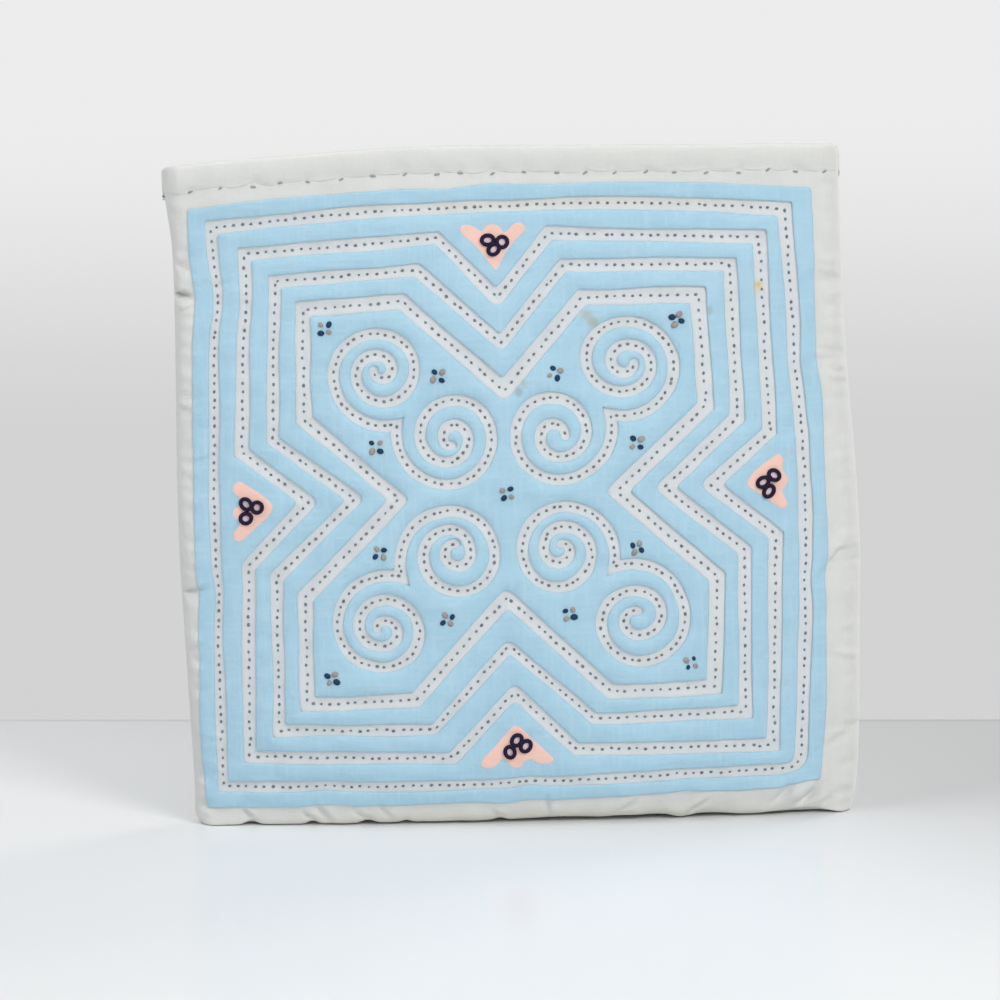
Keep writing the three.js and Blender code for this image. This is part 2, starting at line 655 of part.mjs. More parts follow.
// Slider with its pull lying along the chain, one piece
function sliderGeometry() {
  const body = roundedPlate(SLIDER.length, SLIDER.width, SLIDER.height, 0);
  const pull = roundedPlate(PULL.length, PULL.width, PULL.height, PULL.holeRadius);
  pull.rotateZ(Math.PI);
  pull.translate(-(PULL.length - SLIDER.length) / 2, 0, SLIDER.height - PULL.overlap);
  return geometryOf(solidFrom(body).add(solidFrom(pull)));
}

const pouch = new THREE.Group();

function addPiece(name, geometry, finish) {
  const mesh = new THREE.Mesh(geometry, new THREE.MeshStandardMaterial(finish));
  mesh.name = name;
  pouch.add(mesh);
  return mesh;
}

addPiece('front_panel', panelGeometry(frontDepth, -1, FRONT_ROWS, FRONT_COLUMNS, 0), WHITE);
addPiece('back_panel', panelGeometry(backDepth, 1, BACK_ROWS, BACK_COLUMNS, BACK_DROP), WHITE);
addPiece('base_panel', baseGeometry(), WHITE);
addPiece('front_hem', hemGeometry(frontDepth, -1, 0), WHITE);
addPiece('back_hem', hemGeometry(backDepth, 1, BACK_DROP), WHITE);

const square = bowedSquare(SQUARE_BAND);
const stars = STAR_BANDS.map(starCorners);
const starEdge = (i, side) => offsetLoop(stars[i], (side * STAR_BANDS[i].width) / 2);
const starSide = (i, side) => steppedLoop(starEdge(i, side));
const squareSide = (side) => offsetLoop(square, (side * SQUARE_BAND.width) / 2);
const rings = [
  { name: 'blue_border', outer: bowedSquare(BLUE_EDGE), inner: squareSide(1), rows: 1 },
  { name: 'blue_ring_outer', outer: squareSide(-1), inner: starSide(0, 1), rows: 3 },
  { name: 'blue_ring_middle', outer: starSide(0, -1), inner: starSide(1, 1), rows: 1 },
  { name: 'blue_ring_inner', outer: starSide(1, -1), inner: starSide(2, 1), rows: 1 },
];
for (const { name, outer, inner, rows } of rings) {
  addPiece(name, ringGeometry(outer, inner, rows, BLUE_LIFT, BLUE_THICKNESS), BLUE);
}
const field = drapedGeometry(starEdge(2, -1), SPIRAL_PAIRS.map(spiralChannel), BLUE_LIFT, BLUE_THICKNESS);
addPiece('blue_field', field, BLUE);

const pinkLift = BLUE_LIFT + BLUE_THICKNESS + GAP;
for (const patch of PINK_PATCHES) {
  addPiece(patch.name, drapedGeometry(pinkOutline(patch), [], pinkLift, PINK_THICKNESS), PINK);
}

addPiece('zipper_tape_front', tapeGeometry(frontDepth, -1), TAPE);
addPiece('zipper_tape_back', tapeGeometry(backDepth, 1), TAPE);
addPiece('zipper_chain', chainGeometry(), TEETH);
const slider = addPiece('zipper_slider', sliderGeometry(), METAL);
slider.position.set(SLIDER.x, 0, zipperTop(SLIDER.x) + GAP + CHAIN_HEIGHT / 2);

export default pouch;
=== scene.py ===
"""A soft square zipper pouch with a reverse applique face, standing on a pale glossy floor."""

import math

import bmesh
import bpy
import numpy as np
from mathutils import Matrix, Vector
from mathutils.geometry import delaunay_2d_cdt
from mathutils.kdtree import KDTree


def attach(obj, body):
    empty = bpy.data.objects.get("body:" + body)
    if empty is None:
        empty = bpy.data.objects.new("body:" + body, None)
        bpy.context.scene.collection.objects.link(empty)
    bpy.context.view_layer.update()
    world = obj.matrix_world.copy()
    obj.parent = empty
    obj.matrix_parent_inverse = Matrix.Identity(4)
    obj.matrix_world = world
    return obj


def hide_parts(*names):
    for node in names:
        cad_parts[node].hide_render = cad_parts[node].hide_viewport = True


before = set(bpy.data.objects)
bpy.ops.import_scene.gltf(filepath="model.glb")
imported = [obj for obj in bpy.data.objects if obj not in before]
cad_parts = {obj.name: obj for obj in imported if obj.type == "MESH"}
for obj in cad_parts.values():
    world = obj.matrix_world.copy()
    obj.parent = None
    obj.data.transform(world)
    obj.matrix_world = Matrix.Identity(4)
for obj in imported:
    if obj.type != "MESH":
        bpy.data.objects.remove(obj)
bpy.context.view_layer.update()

MM = 0.001
LEFT, RIGHT = "left", "right"
FRONT, BACK = -1, 1  # sign of Y on the decorated face and on the back
OUTER, INNER = 1, -1  # edge of a white band away from the middle of the face, or towards it

# Body of the bag, in millimetres
EDGE_DEPTH = 4.0  # half depth beside the side seams
BASE_DEPTH = 6.5  # half depth of the flat base in its middle
RIM_DEPTH = -0.05  # at the side seams each panel reaches a little past the other
FOLD_FLOOR = 1.0  # least half depth that a fold leaves
EDGE_RADIUS = 3.6  # round-over from the face to the seam line
CROWN_POWER = 2.4  # how full the face is from side to side
ROLL_HEIGHT = 14.0  # height of the rounded lower edge
BACK_FULLNESS = 1.14  # the plain back bulges as far as the face with its patches
BACK_DROP = 1.4  # the back stands this much lower than the front
FOLD_SHARE = 0.6  # what the hollow of a fold and the line along it each take of its depth
FOLD_LINE = 3.5  # how many times narrower than the hollow that line is
CREASE_LIP = 0.45  # height of the lip beside a crease, as a share of its depth
PUCKER_DEPTH, PUCKER_LENGTH = 0.22, 4.5  # small gathers along the side seams
PUCKER_INSET, PUCKER_REACH = 2.0, 2.2  # where they lie from the seam, and how wide they spread
GATHER_DEPTH, GATHER_LENGTH, GATHER_HEIGHT = 0.5, 9.0, 7.0  # gathers along the back's lower edge

# Soft unevenness of the face and of the back: height, seed, wavelength and stretch upward
FACE_RIPPLES = ((0.10, 3, 9.0, 1.0), (0.16, 4, 30.0, 1.0))
BACK_RIPPLES = ((0.55, 21, 48.0, 1.0), (0.07, 22, 17.0, 2.5))
RIPPLE_WAVES = 14
RIPPLE_SPREAD = (0.6, 1.5)  # shortest and longest wave, as shares of the wavelength
# Distances from the side seams over which unevenness, creases and the back's dents set in
RIPPLE_CALM, CREASE_CALM, BACK_CALM = 3.0, 1.5, 4.0

# Height, left edge, right edge and middle half depth
SECTIONS = np.array([
    (0, -74.2, 75.2, 12.5),
    (1.5, -75.1, 75.8, 12.55),
    (4, -75.3, 76.3, 12.6),
    (10, -75.3, 76.9, 12.7),
    (28, -75.9, 77.5, 13.1),
    (45, -76.5, 77.7, 13.1),
    (61, -77.0, 77.9, 12.8),
    (80, -77.0, 77.0, 12.1),
    (100, -76.6, 75.5, 11.0),
    (121, -76.3, 74.4, 9.6),
    (133, -76.5, 74.1, 8.7),
    (140, -77.3, 73.9, 8.3),
    (146, -77.9, 73.8, 8.0),
    (155, -78.1, 73.4, 7.6),
])

# Place along the top and height of the hem's crest there
TOP_EDGE = np.array([
    (-77.7, 150.2), (-66, 151.4), (-44, 152.8), (-22, 153.9), (20, 153.4), (64, 152.6), (73, 152.2),
])

# Pinched folds at the side seams: side, height, depth, spread along the seam and reach into the face
FOLDS = (
    (LEFT, 121.6, 2.4, 1.8, 4), (LEFT, 54, 1.4, 2.2, 4), (RIGHT, 122, 1.0, 2.2, 5),
    (RIGHT, 104.5, 1.0, 2.2, 5), (RIGHT, 58, 1.3, 2.6, 6), (RIGHT, 20, 1.3, 2.6, 6),
)

# Place along the lower edge and how far the cloth stands off the floor there
BASE_LIFT = np.array([
    (-74, 0.0), (-50, 0.05), (-25, 0.2), (-5, 0.3), (10, 0.7), (17, 0.5), (24, 0.8), (32, 0.85),
    (36, 0.05), (41, 0.85), (51, 0.25), (58, 0.7), (66, 1.25), (70.5, 0.35), (73, 0.0), (76, 0.0),
])
LIFT_HEIGHT = 2.6  # how far up the face the lift fades
# Small arched gaps under the lower edge: place, height and half width
GAPS = ((-62.3, 1.1, 1.6), (-48.2, 0.75, 1.4), (-35.5, 0.75, 1.7), (-26.8, 0.45, 1.3), (-5.4, 0.6, 1.5))

# Sharp creases on the face from one point to another, with depth and half width; a negative depth is a ridge
CREASES = (
    ((-63.9, 3.6), (-62.2, 1.0), 0.9, 1.0), ((-47.3, 5.4), (-44.3, 1.0), 0.9, 1.4),
    ((-50.2, 3.0), (-47.6, 0.6), 0.8, 1.0), ((-38.2, 3.3), (-35.3, 1.0), 0.75, 1.0),
    ((-33.0, 5.2), (-30.0, 1.2), 0.6, 1.3), ((-7.2, 3.2), (-5.1, 1.0), 0.75, 1.0),
    ((5.2, 6.6), (5.7, 1.0), 0.8, 1.2), ((22.0, 1.8), (25.6, 5.0), 1.0, 1.1),
    ((37.3, 0.8), (41.4, 4.0), 1.3, 1.0), ((57.2, 3.2), (61.5, 7.6), 1.3, 1.7),
    ((62.8, 1.6), (67.2, 6.2), 2.0, 2.1), ((68.2, 1.2), (70.6, 4.4), 0.7, 1.2),
    ((69.0, 15.6), (78.4, 20.6), 0.9, 1.6), ((68.9, 56.0), (74.4, 61.6), 1.1, 1.2),
    ((71.8, 60.4), (79.0, 60.6), 0.9, 1.2),
    ((70.8, 36.5), (77.0, 34.9), 0.5, 1.0), ((67.0, 125.1), (75.6, 122.8), -0.8, 0.9),
    ((71.6, 118.3), (75.4, 117.4), 0.9, 0.8), ((67.0, 105.6), (76.0, 104.3), -0.8, 0.9),
    ((71.5, 101.8), (75.6, 100.6), 0.9, 0.8), ((71.5, 99.4), (76.0, 98.5), 0.8, 0.8),
    ((-77.2, 122.5), (-72.4, 120.8), 2.1, 1.1), ((-71.3, 123.7), (-61.8, 124.3), 0.35, 0.9),
    ((-76.4, 117.4), (-71.6, 119.0), 0.7, 0.8), ((-76.6, 129.2), (-71.8, 126.8), 0.6, 1.2),
    ((-73.1, 83.9), (-68.4, 84.9), 0.3, 0.9), ((-76.6, 53.6), (-70.8, 55.2), 1.0, 0.9),
    ((-72.4, 20.3), (-69.1, 19.7), 0.3, 0.9), ((-72.2, 12.9), (-68.5, 12.3), 0.3, 0.9),
    ((-76.6, 39.7), (-72.1, 41.9), 0.6, 0.9), ((-76.8, 96.5), (-73.0, 95.2), 0.5, 0.9),
)

# Soft wrinkles on the plain back, in the same way
BACK_CREASES = (
    ((-72, 9), (-50, 27), 0.5, 3.0), ((71, 7), (52, 24), 0.45, 2.8), ((-66, 140), (-50, 118), 0.4, 3.0),
    ((62, 138), (49, 119), 0.4, 2.8), ((-76, 78), (-60, 73), 0.35, 2.0), ((76, 97), (61, 92), 0.35, 2.0),
    ((-76, 52), (-63, 50), 0.3, 1.6), ((76, 47), (64, 44), 0.3, 1.6), ((-24, 3), (-16, 19), 0.4, 1.9),
    ((16, 3), (23, 17), 0.35, 1.8), ((-48, 3), (-43, 14), 0.3, 1.6), ((44, 3), (40, 15), 0.3, 1.7),
    ((-8, 62), (20, 55), 0.25, 4.0), ((-30, 100), (-8, 108), 0.25, 4.0),
)

# Hem folded over the top edge
HEM_HEIGHT = 6.0
HEM_PROUD = 0.3  # how far the hem reaches past the side seams
HEM_COVER = 0.9  # how far a panel's top edge stays below the hem's crest
# Section from the tucked lower edge over the crest to the inside: outward from the cloth, up from the foot
HEM_SECTION = (
    (0.0, 0.9), (0.02, 0.25), (0.12, 0.0), (0.32, 0.5), (0.64, 1.6), (0.9, 3.0), (0.98, 4.4), (0.8, 5.5),
    (0.2, 6.0), (-0.7, 5.95), (-1.3, 5.4), (-1.5, 4.4), (-1.5, 2.2), (-1.5, 0.6),
)
HEM_PULL_IN, HEM_PULL_UP = 0.2, 0.14  # how far a stitch draws the lower edge
HEM_PULL_WIDTH, HEM_PULL_HEIGHT = 1.5, 2.0
HEM_WAVE, HEM_WAVE_LENGTH = 0.12, 11.0  # unevenness of the lower edge
HEM_BULGE, HEM_BULGE_LENGTH = 0.07, 13.0  # unevenness of the outside
HEM_BULGE_FROM = 0.3  # how far out the section has to be to take it
HEM_INSIDE = 0.8  # share of the half depth that the inside may take
HEM_END_LEFT, HEM_END_ROUND = 0.1, 1.6  # share of the section left at the ends, and their rounding
HEM_END_DROP, HEM_END_DROP_REACH = 1.3, 2.4  # how far the crest drops at the ends, and over which reach
HEM_END_FROM = 3.5  # height above the foot where that drop begins
HEM_STITCHES = 22
HEM_STITCH_START, HEM_STITCH_END = -71.6, 71.2
HEM_STITCH_DROP = 0.15  # how far the stitches sit below the hem's lower edge
HEM_STITCH_SHIFT, HEM_STITCH_UNEVEN = 0.5, 0.15  # unevenness along the hem and in height
HEM_STITCH_LIFT = 0.12
HEM_STITCH_LEAN = (-0.2, 0.7)  # least and greatest rise per length
HEM_STITCH_SIZE = (0.6, 0.24, 0.2)  # half length, half width and half height
HEM_STITCH_VARIETY = 0.12

# Corners of the blue layer's outer edge and of the square white band, clockwise from the top left
BLUE_CORNERS = ((-72.3, 141.0), (67.2, 142.8), (67.7, 7.3), (-72.2, 4.15))
SQUARE_CORNERS = ((-67.1, 136.6), (61.2, 138.1), (63.2, 11.15), (-68.2, 9.3))
# How far their top, right, bottom and left sides swell outward at each quarter
BLUE_SWELLS = ((2.45, 3.05, 2.65), (0.75, 2.45, 2.3), (0.15, 0.45, 0.15), (0.9, 0.95, 0.15))
SQUARE_SWELLS = ((2.4, 2.95, 2.6), (1.45, 2.8, 2.0), (-0.05, 0.3, 0.3), (0.4, 0.65, 0.05))
SQUARE_WIDTHS = (2.75, 3.1, 2.4, 2.35)  # of the square band's sides
SQUARE_TURN = 3.6  # reach of the bend at the square band's lower right corner
SQUARE_TURN_STEP = 1.4  # how much farther the bend of its outer edge reaches
# Places where a fold draws the pattern in from a side: x, height, shift, spread along the side and reach
PINCHES = (
    (-73, 120.5, 1.35, 7.5, 16), (-73, 53, 0.8, 5, 8), (70, 54.3, -0.6, 4, 7), (70, 104.5, -0.5, 4.5, 8),
)
# Places where a fold lifts the pattern at the lower side: x, lift and spread
LIFTS = ((-44.5, 0.5, 4.5), (1.5, 0.85, 4.0), (37, 0.4, 4.0), (66, 0.9, 4.5))
LIFT_FADE = (7, 15)  # heights between which the lift fades

# Three inner white bands: widths of the four sides, and corners clockwise from the top left, with a notch in
# each side
STAR_BANDS = (
    ((2.9, 3.3, 2.8, 3.2), (
        (-60.0, 130.7), (-16.6, 133.4), (-3.5, 120.0), (8.4, 134.1),
        (55.4, 132.0), (57.2, 88.3), (43.6, 76.9), (58.2, 64.9),
        (57.1, 16.8), (12.3, 17.6), (-1.4, 31.0), (-15.7, 16.1),
        (-61.9, 16.4), (-61.0, 60.2), (-46.9, 74.8), (-61.6, 86.1),
    )),
    ((2.8, 3.3, 2.5, 2.9), (
        (-53.4, 124.4), (-21.2, 126.5), (-2.8, 109.7), (11.4, 127.0),
        (48.7, 126.2), (49.9, 91.7), (33.2, 76.6), (51.0, 61.7),
        (50.8, 24.8), (16.3, 24.4), (-2.5, 41.8), (-19.6, 22.8),
        (-54.9, 22.6), (-54.5, 57.9), (-36.3, 75.4), (-54.5, 88.8),
    )),
    ((3.6, 3.8, 3.3, 3.5), (
        (-47.1, 118.2), (-24.7, 119.5), (-2.4, 99.2), (15.5, 119.8),
        (41.4, 119.5), (42.8, 94.7), (22.4, 76.0), (44.8, 56.0),
        (43.8, 30.9), (20.2, 30.5), (-2.7, 52.7), (-23.7, 29.6),
        (-48.4, 28.7), (-48.2, 53.2), (-26.4, 75.3), (-47.3, 93.2),
    )),
)
NOTCH_TURN = 2.5  # reach of the bend at the tip of a notch
SIDE_STATIONS = (0, 0.38, 0.49, 0.6, 1)  # where shoulder, notch and shoulder sit along a side
RUN_STEPS = (64, 32, 32, 64)  # points on the four runs between them
MITRE_LEAST = 0.5  # keeps a sharp mitre from running far out
CORNER_WEIGHT = 6  # weight of a point against its neighbours where corners are softened
# Hand cutting: fewest and most waves round an edge, slow and quick, and along the side of a spiral
SLOW_WAVES, QUICK_WAVES, SPIRAL_WAVES = (4, 22), (30, 110), (2, 16)
QUICK_SHARE = 0.15  # height of the quick waves against the slow ones

# Double snail spirals
SPIRAL_WIDTH = 2.6
SPIRAL_TAPER, SPIRAL_TAPER_REACH = 0.18, 3.0  # how much narrower a spiral ends, and over which length
SPIRAL_PAST = 0.25  # share of a quarter turn past the last radius
SPIRAL_STEP = 0.5
CAP_ANGLES = (60, 30, 0, -30, -60)  # points of the round ends, in degrees
CROSSING_SLACK = 0.12  # how far a channel's side may come inside it near the cusp
# The shared cusp, then centre, turning sense and radii of the outer and of the inner spiral
# The radii follow each other by quarter turns from the cusp
SPIRAL_PAIRS = (
    ((-26.5, 92.1), ((-30.0, 104.2), -1, (12.6, 10.8, 8.5, 7.8, 7.1, 5.6, 3.7, 2.8, 1.85, 1.4)),
     ((-14.3, 88.1), 1, (12.1, 9.9, 8.8, 9.4, 7.5, 4.8, 3.7, 3.8, 2.0, 0.9))),
    ((21.4, 93.3), ((25.2, 105.0), 1, (12.3, 10.8, 9.0, 9.3, 6.9, 5.7, 3.9, 3.7, 2.5, 1.7)),
     ((9.0, 88.5), -1, (12.6, 9.7, 9.0, 9.2, 7.3, 4.6, 3.5, 3.3, 2.2))),
    ((-26.2, 57.6), ((-31.2, 45.9), 1, (11.9, 10.1, 8.8, 8.8, 7.1, 5.3, 4.0, 3.9, 2.0, 0.9)),
     ((-13.7, 63.3), -1, (12.3, 9.7, 8.3, 9.1, 8.0, 5.5, 3.2, 3.5, 2.9, 1.9))),
    ((21.4, 58.9), ((27.1, 47.4), -1, (11.2, 10.3, 10.1, 9.2, 6.6, 5.2, 4.1, 3.9, 1.6)),
     ((9.4, 63.7), 1, (12.3, 9.7, 8.3, 9.0, 7.5, 5.1, 3.7, 3.5, 2.3, 0.9))),
)

# Outlines of the pink patches, clockwise: two ears and a lobe between them on the outside, and a tip
PINK_PATCHES = {
    "pink_top": (
        (-11.6, 135.7), (-10.6, 136.4), (-8.7, 136.2), (-7.5, 135.2), (-6.5, 134.6), (-5.9, 135.8),
        (-4.9, 136.4), (-3.5, 136.3), (-2.4, 135.6), (-1.8, 134.3), (-0.8, 134.8), (0.4, 136.3),
        (1.7, 136.7), (2.9, 136.1), (3.2, 135.0), (1.9, 133.7), (0.2, 132.2), (-1.9, 129.3),
        (-3.2, 126.4), (-3.8, 126.0), (-5.7, 128.8), (-8.8, 132.4), (-10.8, 133.9),
    ),
    "pink_right": (
        (59.1, 83.5), (60.0, 82.5), (60.0, 81.1), (59.7, 79.8), (60.5, 78.8), (61.1, 77.9), (61.1, 76.9),
        (60.4, 75.9), (59.6, 75.1), (60.0, 73.9), (60.7, 72.7), (60.9, 71.7), (60.3, 70.9), (59.3, 70.9),
        (56.8, 72.8), (53.1, 75.5), (51.9, 76.4), (51.8, 77.5), (53.6, 79.9), (57.0, 82.2),
    ),
    "pink_bottom": (
        (-1.3, 24.2), (1.8, 20.8), (5.4, 17.4), (7.2, 15.6), (6.5, 14.7), (4.8, 14.5), (3.1, 14.8),
        (2.0, 15.9), (0.5, 15.4), (-0.2, 14.0), (-1.5, 13.6), (-2.6, 14.1), (-3.4, 15.2), (-4.5, 16.1),
        (-5.4, 15.1), (-6.5, 13.9), (-8.2, 13.7), (-9.4, 14.3), (-9.4, 15.6), (-6.7, 18.1), (-3.3, 22.0),
    ),
    "pink_left": (
        (-62.5, 79.9), (-60.4, 78.5), (-56.5, 76.1), (-54.5, 73.7), (-56.6, 71.1), (-59.7, 68.5),
        (-61.8, 66.3), (-62.9, 65.9), (-63.9, 66.3), (-64.1, 67.3), (-63.7, 68.5), (-62.6, 69.5),
        (-62.3, 70.5), (-63.4, 71.2), (-64.1, 72.1), (-64.0, 73.1), (-62.3, 74.4), (-62.4, 75.8),
        (-63.4, 76.7), (-64.0, 77.6), (-63.7, 78.8),
    ),
}
# Middles of the embroidered rings on each pink patch
PINK_RINGS = (
    (-5.3, 132.9), (-2.1, 132.4), (-4.0, 130.8),
    (57.9, 78.6), (55.4, 77.1), (56.7, 75.0),
    (-1.2, 20.2), (0.8, 18.8), (-2.8, 17.5),
    (-61.0, 74.5), (-58.5, 73.8), (-61.1, 71.3),
)
RING_RADIUS = 1.17
RING_LONGEST = 1.18  # how much longer than round a ring may be
RING_THREAD = 0.46  # radius of the ring's thread
RING_SEAT = 0.6  # how high the thread's middle lies over the patch, as a share of its radius
PINK_ROUNDING = 2  # how often a patch's corners are cut

# Knot clusters: middle, and whether navy lies on the diagonal that rises to the right
KNOT_CLUSTERS = (
    (-42.1, 113.8, True), (-17.1, 102.9, False), (-31.3, 87.2, False), (-2.2, 76.2, True),
    (9.1, 103.0, False), (36.6, 114.3, False), (27.1, 86.9, False), (-31.0, 63.3, True),
    (-16.1, 48.0, True), (-42.6, 34.7, False), (11.3, 48.7, False), (26.7, 63.3, False), (38.4, 36.7, True),
)
KNOT_SPREAD = 1.24  # from a cluster's middle to its knots
KNOT_REACH = (0.85, 1.1)  # least and greatest share of the spread
KNOT_TILT, KNOT_LEAN = 0.22, 0.4  # unevenness of a cluster's and of a knot's direction, in radians
KNOT_RADIUS = 0.68
KNOT_FORM = (1.12, 0.9, 0.6)  # half length, half width and half height as shares of the radius
KNOT_VARIETY = 0.12
KNOT_LIFT = 0.1

# Rims of the blue layer and of a pink patch, from the edge inward: inset and height above the face
EDGE_PROFILE = ((0.2, -0.04), (0.04, 0.07), (0.0, 0.22), (0.06, 0.38), (0.2, 0.49), (0.5, 0.54))
BLUE_HEIGHT = EDGE_PROFILE[-1][1]
PINK_PROFILE = ((0.0, BLUE_HEIGHT + 0.02), (0.12, BLUE_HEIGHT + 0.06), (0.28, BLUE_HEIGHT + 0.09))
PINK_HEIGHT = BLUE_HEIGHT + 0.10
UNDER_BLUE = 0.3  # how far the white panel sinks under the blue layer
# Distances from the middle of a white band and from the blue layer's outside over which it sinks
SINK_FROM_BAND, SINK_FROM_OUTLINE = (1.8, 2.4), (0.6, 1.4)
PUFF = 0.55  # how far padding swells between the stitch lines
PUFF_REACH = 1.9
PUFF_FROM_SEAM, PUFF_FROM_BASE = (0.5, 7.0), (0.5, 9.0)  # distances over which the padding sets in
WAVER = 0.10  # hand-cut unevenness of the blue edges
OUTER_WAVER = 0.2  # the same along the outside of the blue layer

# Running stitches
STITCH_PITCH = 2.0
SPIRAL_STITCH_PITCH = 1.82
STITCH_SIZE = (0.37, 0.29, 0.2)  # half length, half width and half height
STITCH_JITTER, STITCH_SHIFT = 0.16, 0.10  # unevenness along the line and all round
STITCH_VARIETY = 0.09
STITCH_LIFT = 0.09
STITCH_LOOK = 0.3  # how far ahead and behind a stitch its direction is taken

# Zipper, sunk between the two hems
ZIPPER_SINK = 4.4
ZIPPER_LEFT, ZIPPER_RIGHT = -74.0, 71.0
CHAIN_HALF_WIDTH = 1.0
TAPE_START = 0.6 * CHAIN_HALF_WIDTH  # where a tape begins under the coil
TAPE_LEAST = CHAIN_HALF_WIDTH + 0.3  # least reach of a tape towards its panel
TAPE_GAP = 2.1  # from the outside of a panel in to its tape
TAPE_LEG = 6.0  # length of the part that hangs along the panel
TAPE_SAG = 0.25
TAPE_WAVE, TAPE_WAVE_LENGTH = 0.08, 9.0
TAPE_CALM = 0.3  # share of a tape over which sag and waves set in
COIL_PITCH = 1.3
COIL_SIZE = (0.72, 0.40, 0.55)  # half length, half width and half height of a loop
COIL_ASIDE, COIL_LIFT = 0.34, 0.25  # from the middle of the chain to a loop's middle

# Slider, along X: bars have a length, a near width and a far width, and plates a lower and an upper level
SLIDER_X = 50.0
SLIDER_LIFT = 0.85
SLIDER_BODY, SLIDER_LEVELS = (8.0, 3.6, 5.4), (0.0, 0.7)
FLANGE, FLANGE_LEVELS = (6.4, 0.7, 0.7), (-1.0, 0.1)
FLANGE_AHEAD, FLANGE_ASIDE = 0.4, 2.15
BRIDGE = (5.4, 1.5, 1.35, 0.45, 0.65)  # length, width, rise, thickness and height of its foot
PULL, PULL_BEHIND = (15.0, 3.6, 4.0), 3.5
PULL_HOLE, PULL_HOLE_BEHIND = (8.6, 1.6, 1.9), 5.2
PULL_LEVELS = (0.85, 1.35)
SLIDER_BEVEL = 0.12
SHARP_ANGLE = math.radians(50)  # edges sharper than this are bevelled

# Marks on the cloth: middle, half sizes, colour and strength
STAINS = (
    ((55.1, 121.4), (1.1, 1.0), (0.62, 0.40, 0.06, 1), 0.75),
    ((55.0, 120.9), (2.0, 2.4), (0.66, 0.57, 0.34, 1), 0.5),
    ((16.4, 115.8), (1.9, 1.9), (0.44, 0.48, 0.42, 1), 0.75),
    ((17.8, 114.1), (1.8, 1.8), (0.40, 0.43, 0.34, 1), 0.75),
    ((0.9, 98.9), (1.4, 1.6), (0.30, 0.36, 0.36, 1), 0.7),
    ((2.0, 100.6), (1.2, 1.5), (0.42, 0.46, 0.44, 1), 0.6),
    ((44.0, 116.1), (0.9, 1.7), (0.36, 0.42, 0.38, 1), 0.6),
)
# Warmer and paler tint along the lower edge of the white face
BASE_WARM_TINT = ((0, 0), (100, 6.5), (0.83, 0.815, 0.725, 1), 0.7)  # along the lower edge
RING_GROUND = ((1.9, 1.9), (0.80, 0.68, 0.75, 1), 0.8)  # paler pink round each ring
SPOT_CORE = 0.2  # share of a mark that has its full strength
# Square that the blue layer covers, in metres: middle, half size and where its tint begins to fade
SQUARE_MIDDLE = (-0.0023, 0, 0.073)
SQUARE_HALF = (0.0690, 1, 0.0672)
SQUARE_FADE = 0.98
WAVE_PHASE = 20  # radians that a wave texture turns through per unit of its scale

# Mesh density
FACE_COLUMNS, FACE_ROWS = 280, 220
SEAM_COLUMNS, ROLL_ROWS, BASE_ROWS = 12, 42, 9
ROLL_CROWDING = 1.7  # how strongly rows crowd towards the base
PLACE_PASSES = 4  # rounds until places across and heights agree
BASE_RISE = 3  # power by which the base rises towards a lifted edge
FIELD_SPACING, PINK_SPACING = 1.0, 0.8
EDGE_CLEARANCE = 0.55  # least share of the spacing between inner points and an edge
MERGE = 1e-6  # points closer than this become one
HEM_COLUMNS, HEM_END_COLUMNS, HEM_STEPS = 320, 14, 4
TAPE_COLUMNS, TAPE_ROWS, LEG_ROWS = 220, 8, 4
BEAD_SEGMENTS, BEAD_RINGS = 8, 6
TUBE_SIDES, RING_STEPS = 10, 28

# Stage and lamps, in metres
FLOOR_HALF = 8.0
FLOOR_GAP = 0.0002  # from the bag's base down to the floor
# Floor tone, and the darker tone of the painted shade towards the back right corner
FLOOR_TONE_AND_PAINTED_SHADE = ((0.85, 0.862, 0.875, 1), (0.555, 0.565, 0.57, 1))
FLOOR_SHADE_DIRECTION = (1.0, 0.8, 0.0)
FLOOR_SHADE_SPAN = (-0.03, 0.22)
FLOOR_CLOUDS = 0.03
WALL_HALF, WALL_HEIGHT = 3, 2.5
WALL_DISTANCE = 0.112  # from the bag's middle plane back to the backdrop
WALL_SKEW = math.radians(-6.4)
# The backdrop glows with painted light: darker near the floor, brighter higher up
WALL_TONES = ((0.645, 0.65, 0.645, 1), (0.84, 0.84, 0.84, 1))
WALL_SHADE_SPAN = (0.070, 0.155)  # heights between which the tone changes
LAMP_TARGET = (0, 0, 0.075)
# Name, place, size, power, colour and whether shiny things mirror the lamp
LAMPS = (
    ("key", (0.7, -1.05, 0.95), 0.5, 10.6, (1.0, 0.985, 0.965), True),
    ("front", (0.0, -1.6, 0.5), 1.2, 5.1, (0.98, 0.99, 1.0), False),
    ("top", (0.0, -0.1, 1.4), 1.0, 3.4, (1.0, 1.0, 1.0), True),
    ("upper_left", (-0.9, -0.3, 1.1), 0.8, 6.3, (0.98, 0.99, 1.0), True),
    ("rear", (1.3, 1.1, 0.35), 0.7, 15.5, (1.0, 1.0, 1.0), False),
)
SKY_COLOUR, SKY_STRENGTH = (0.96, 0.98, 1.0, 1), 0.27

# Camera at the photograph's angle
CAMERA_ELEVATION = math.radians(8.0)
CAMERA_ROLL = math.radians(1.25)
CAMERA_DISTANCE = 900.0
CAMERA_TARGET = (-3.82, -11.0, 74.5)
CAMERA_LENS = 144.3
CAMERA_SENSOR = 36
CAMERA_CLIP = (0.01, 100)


# Shape of the bag

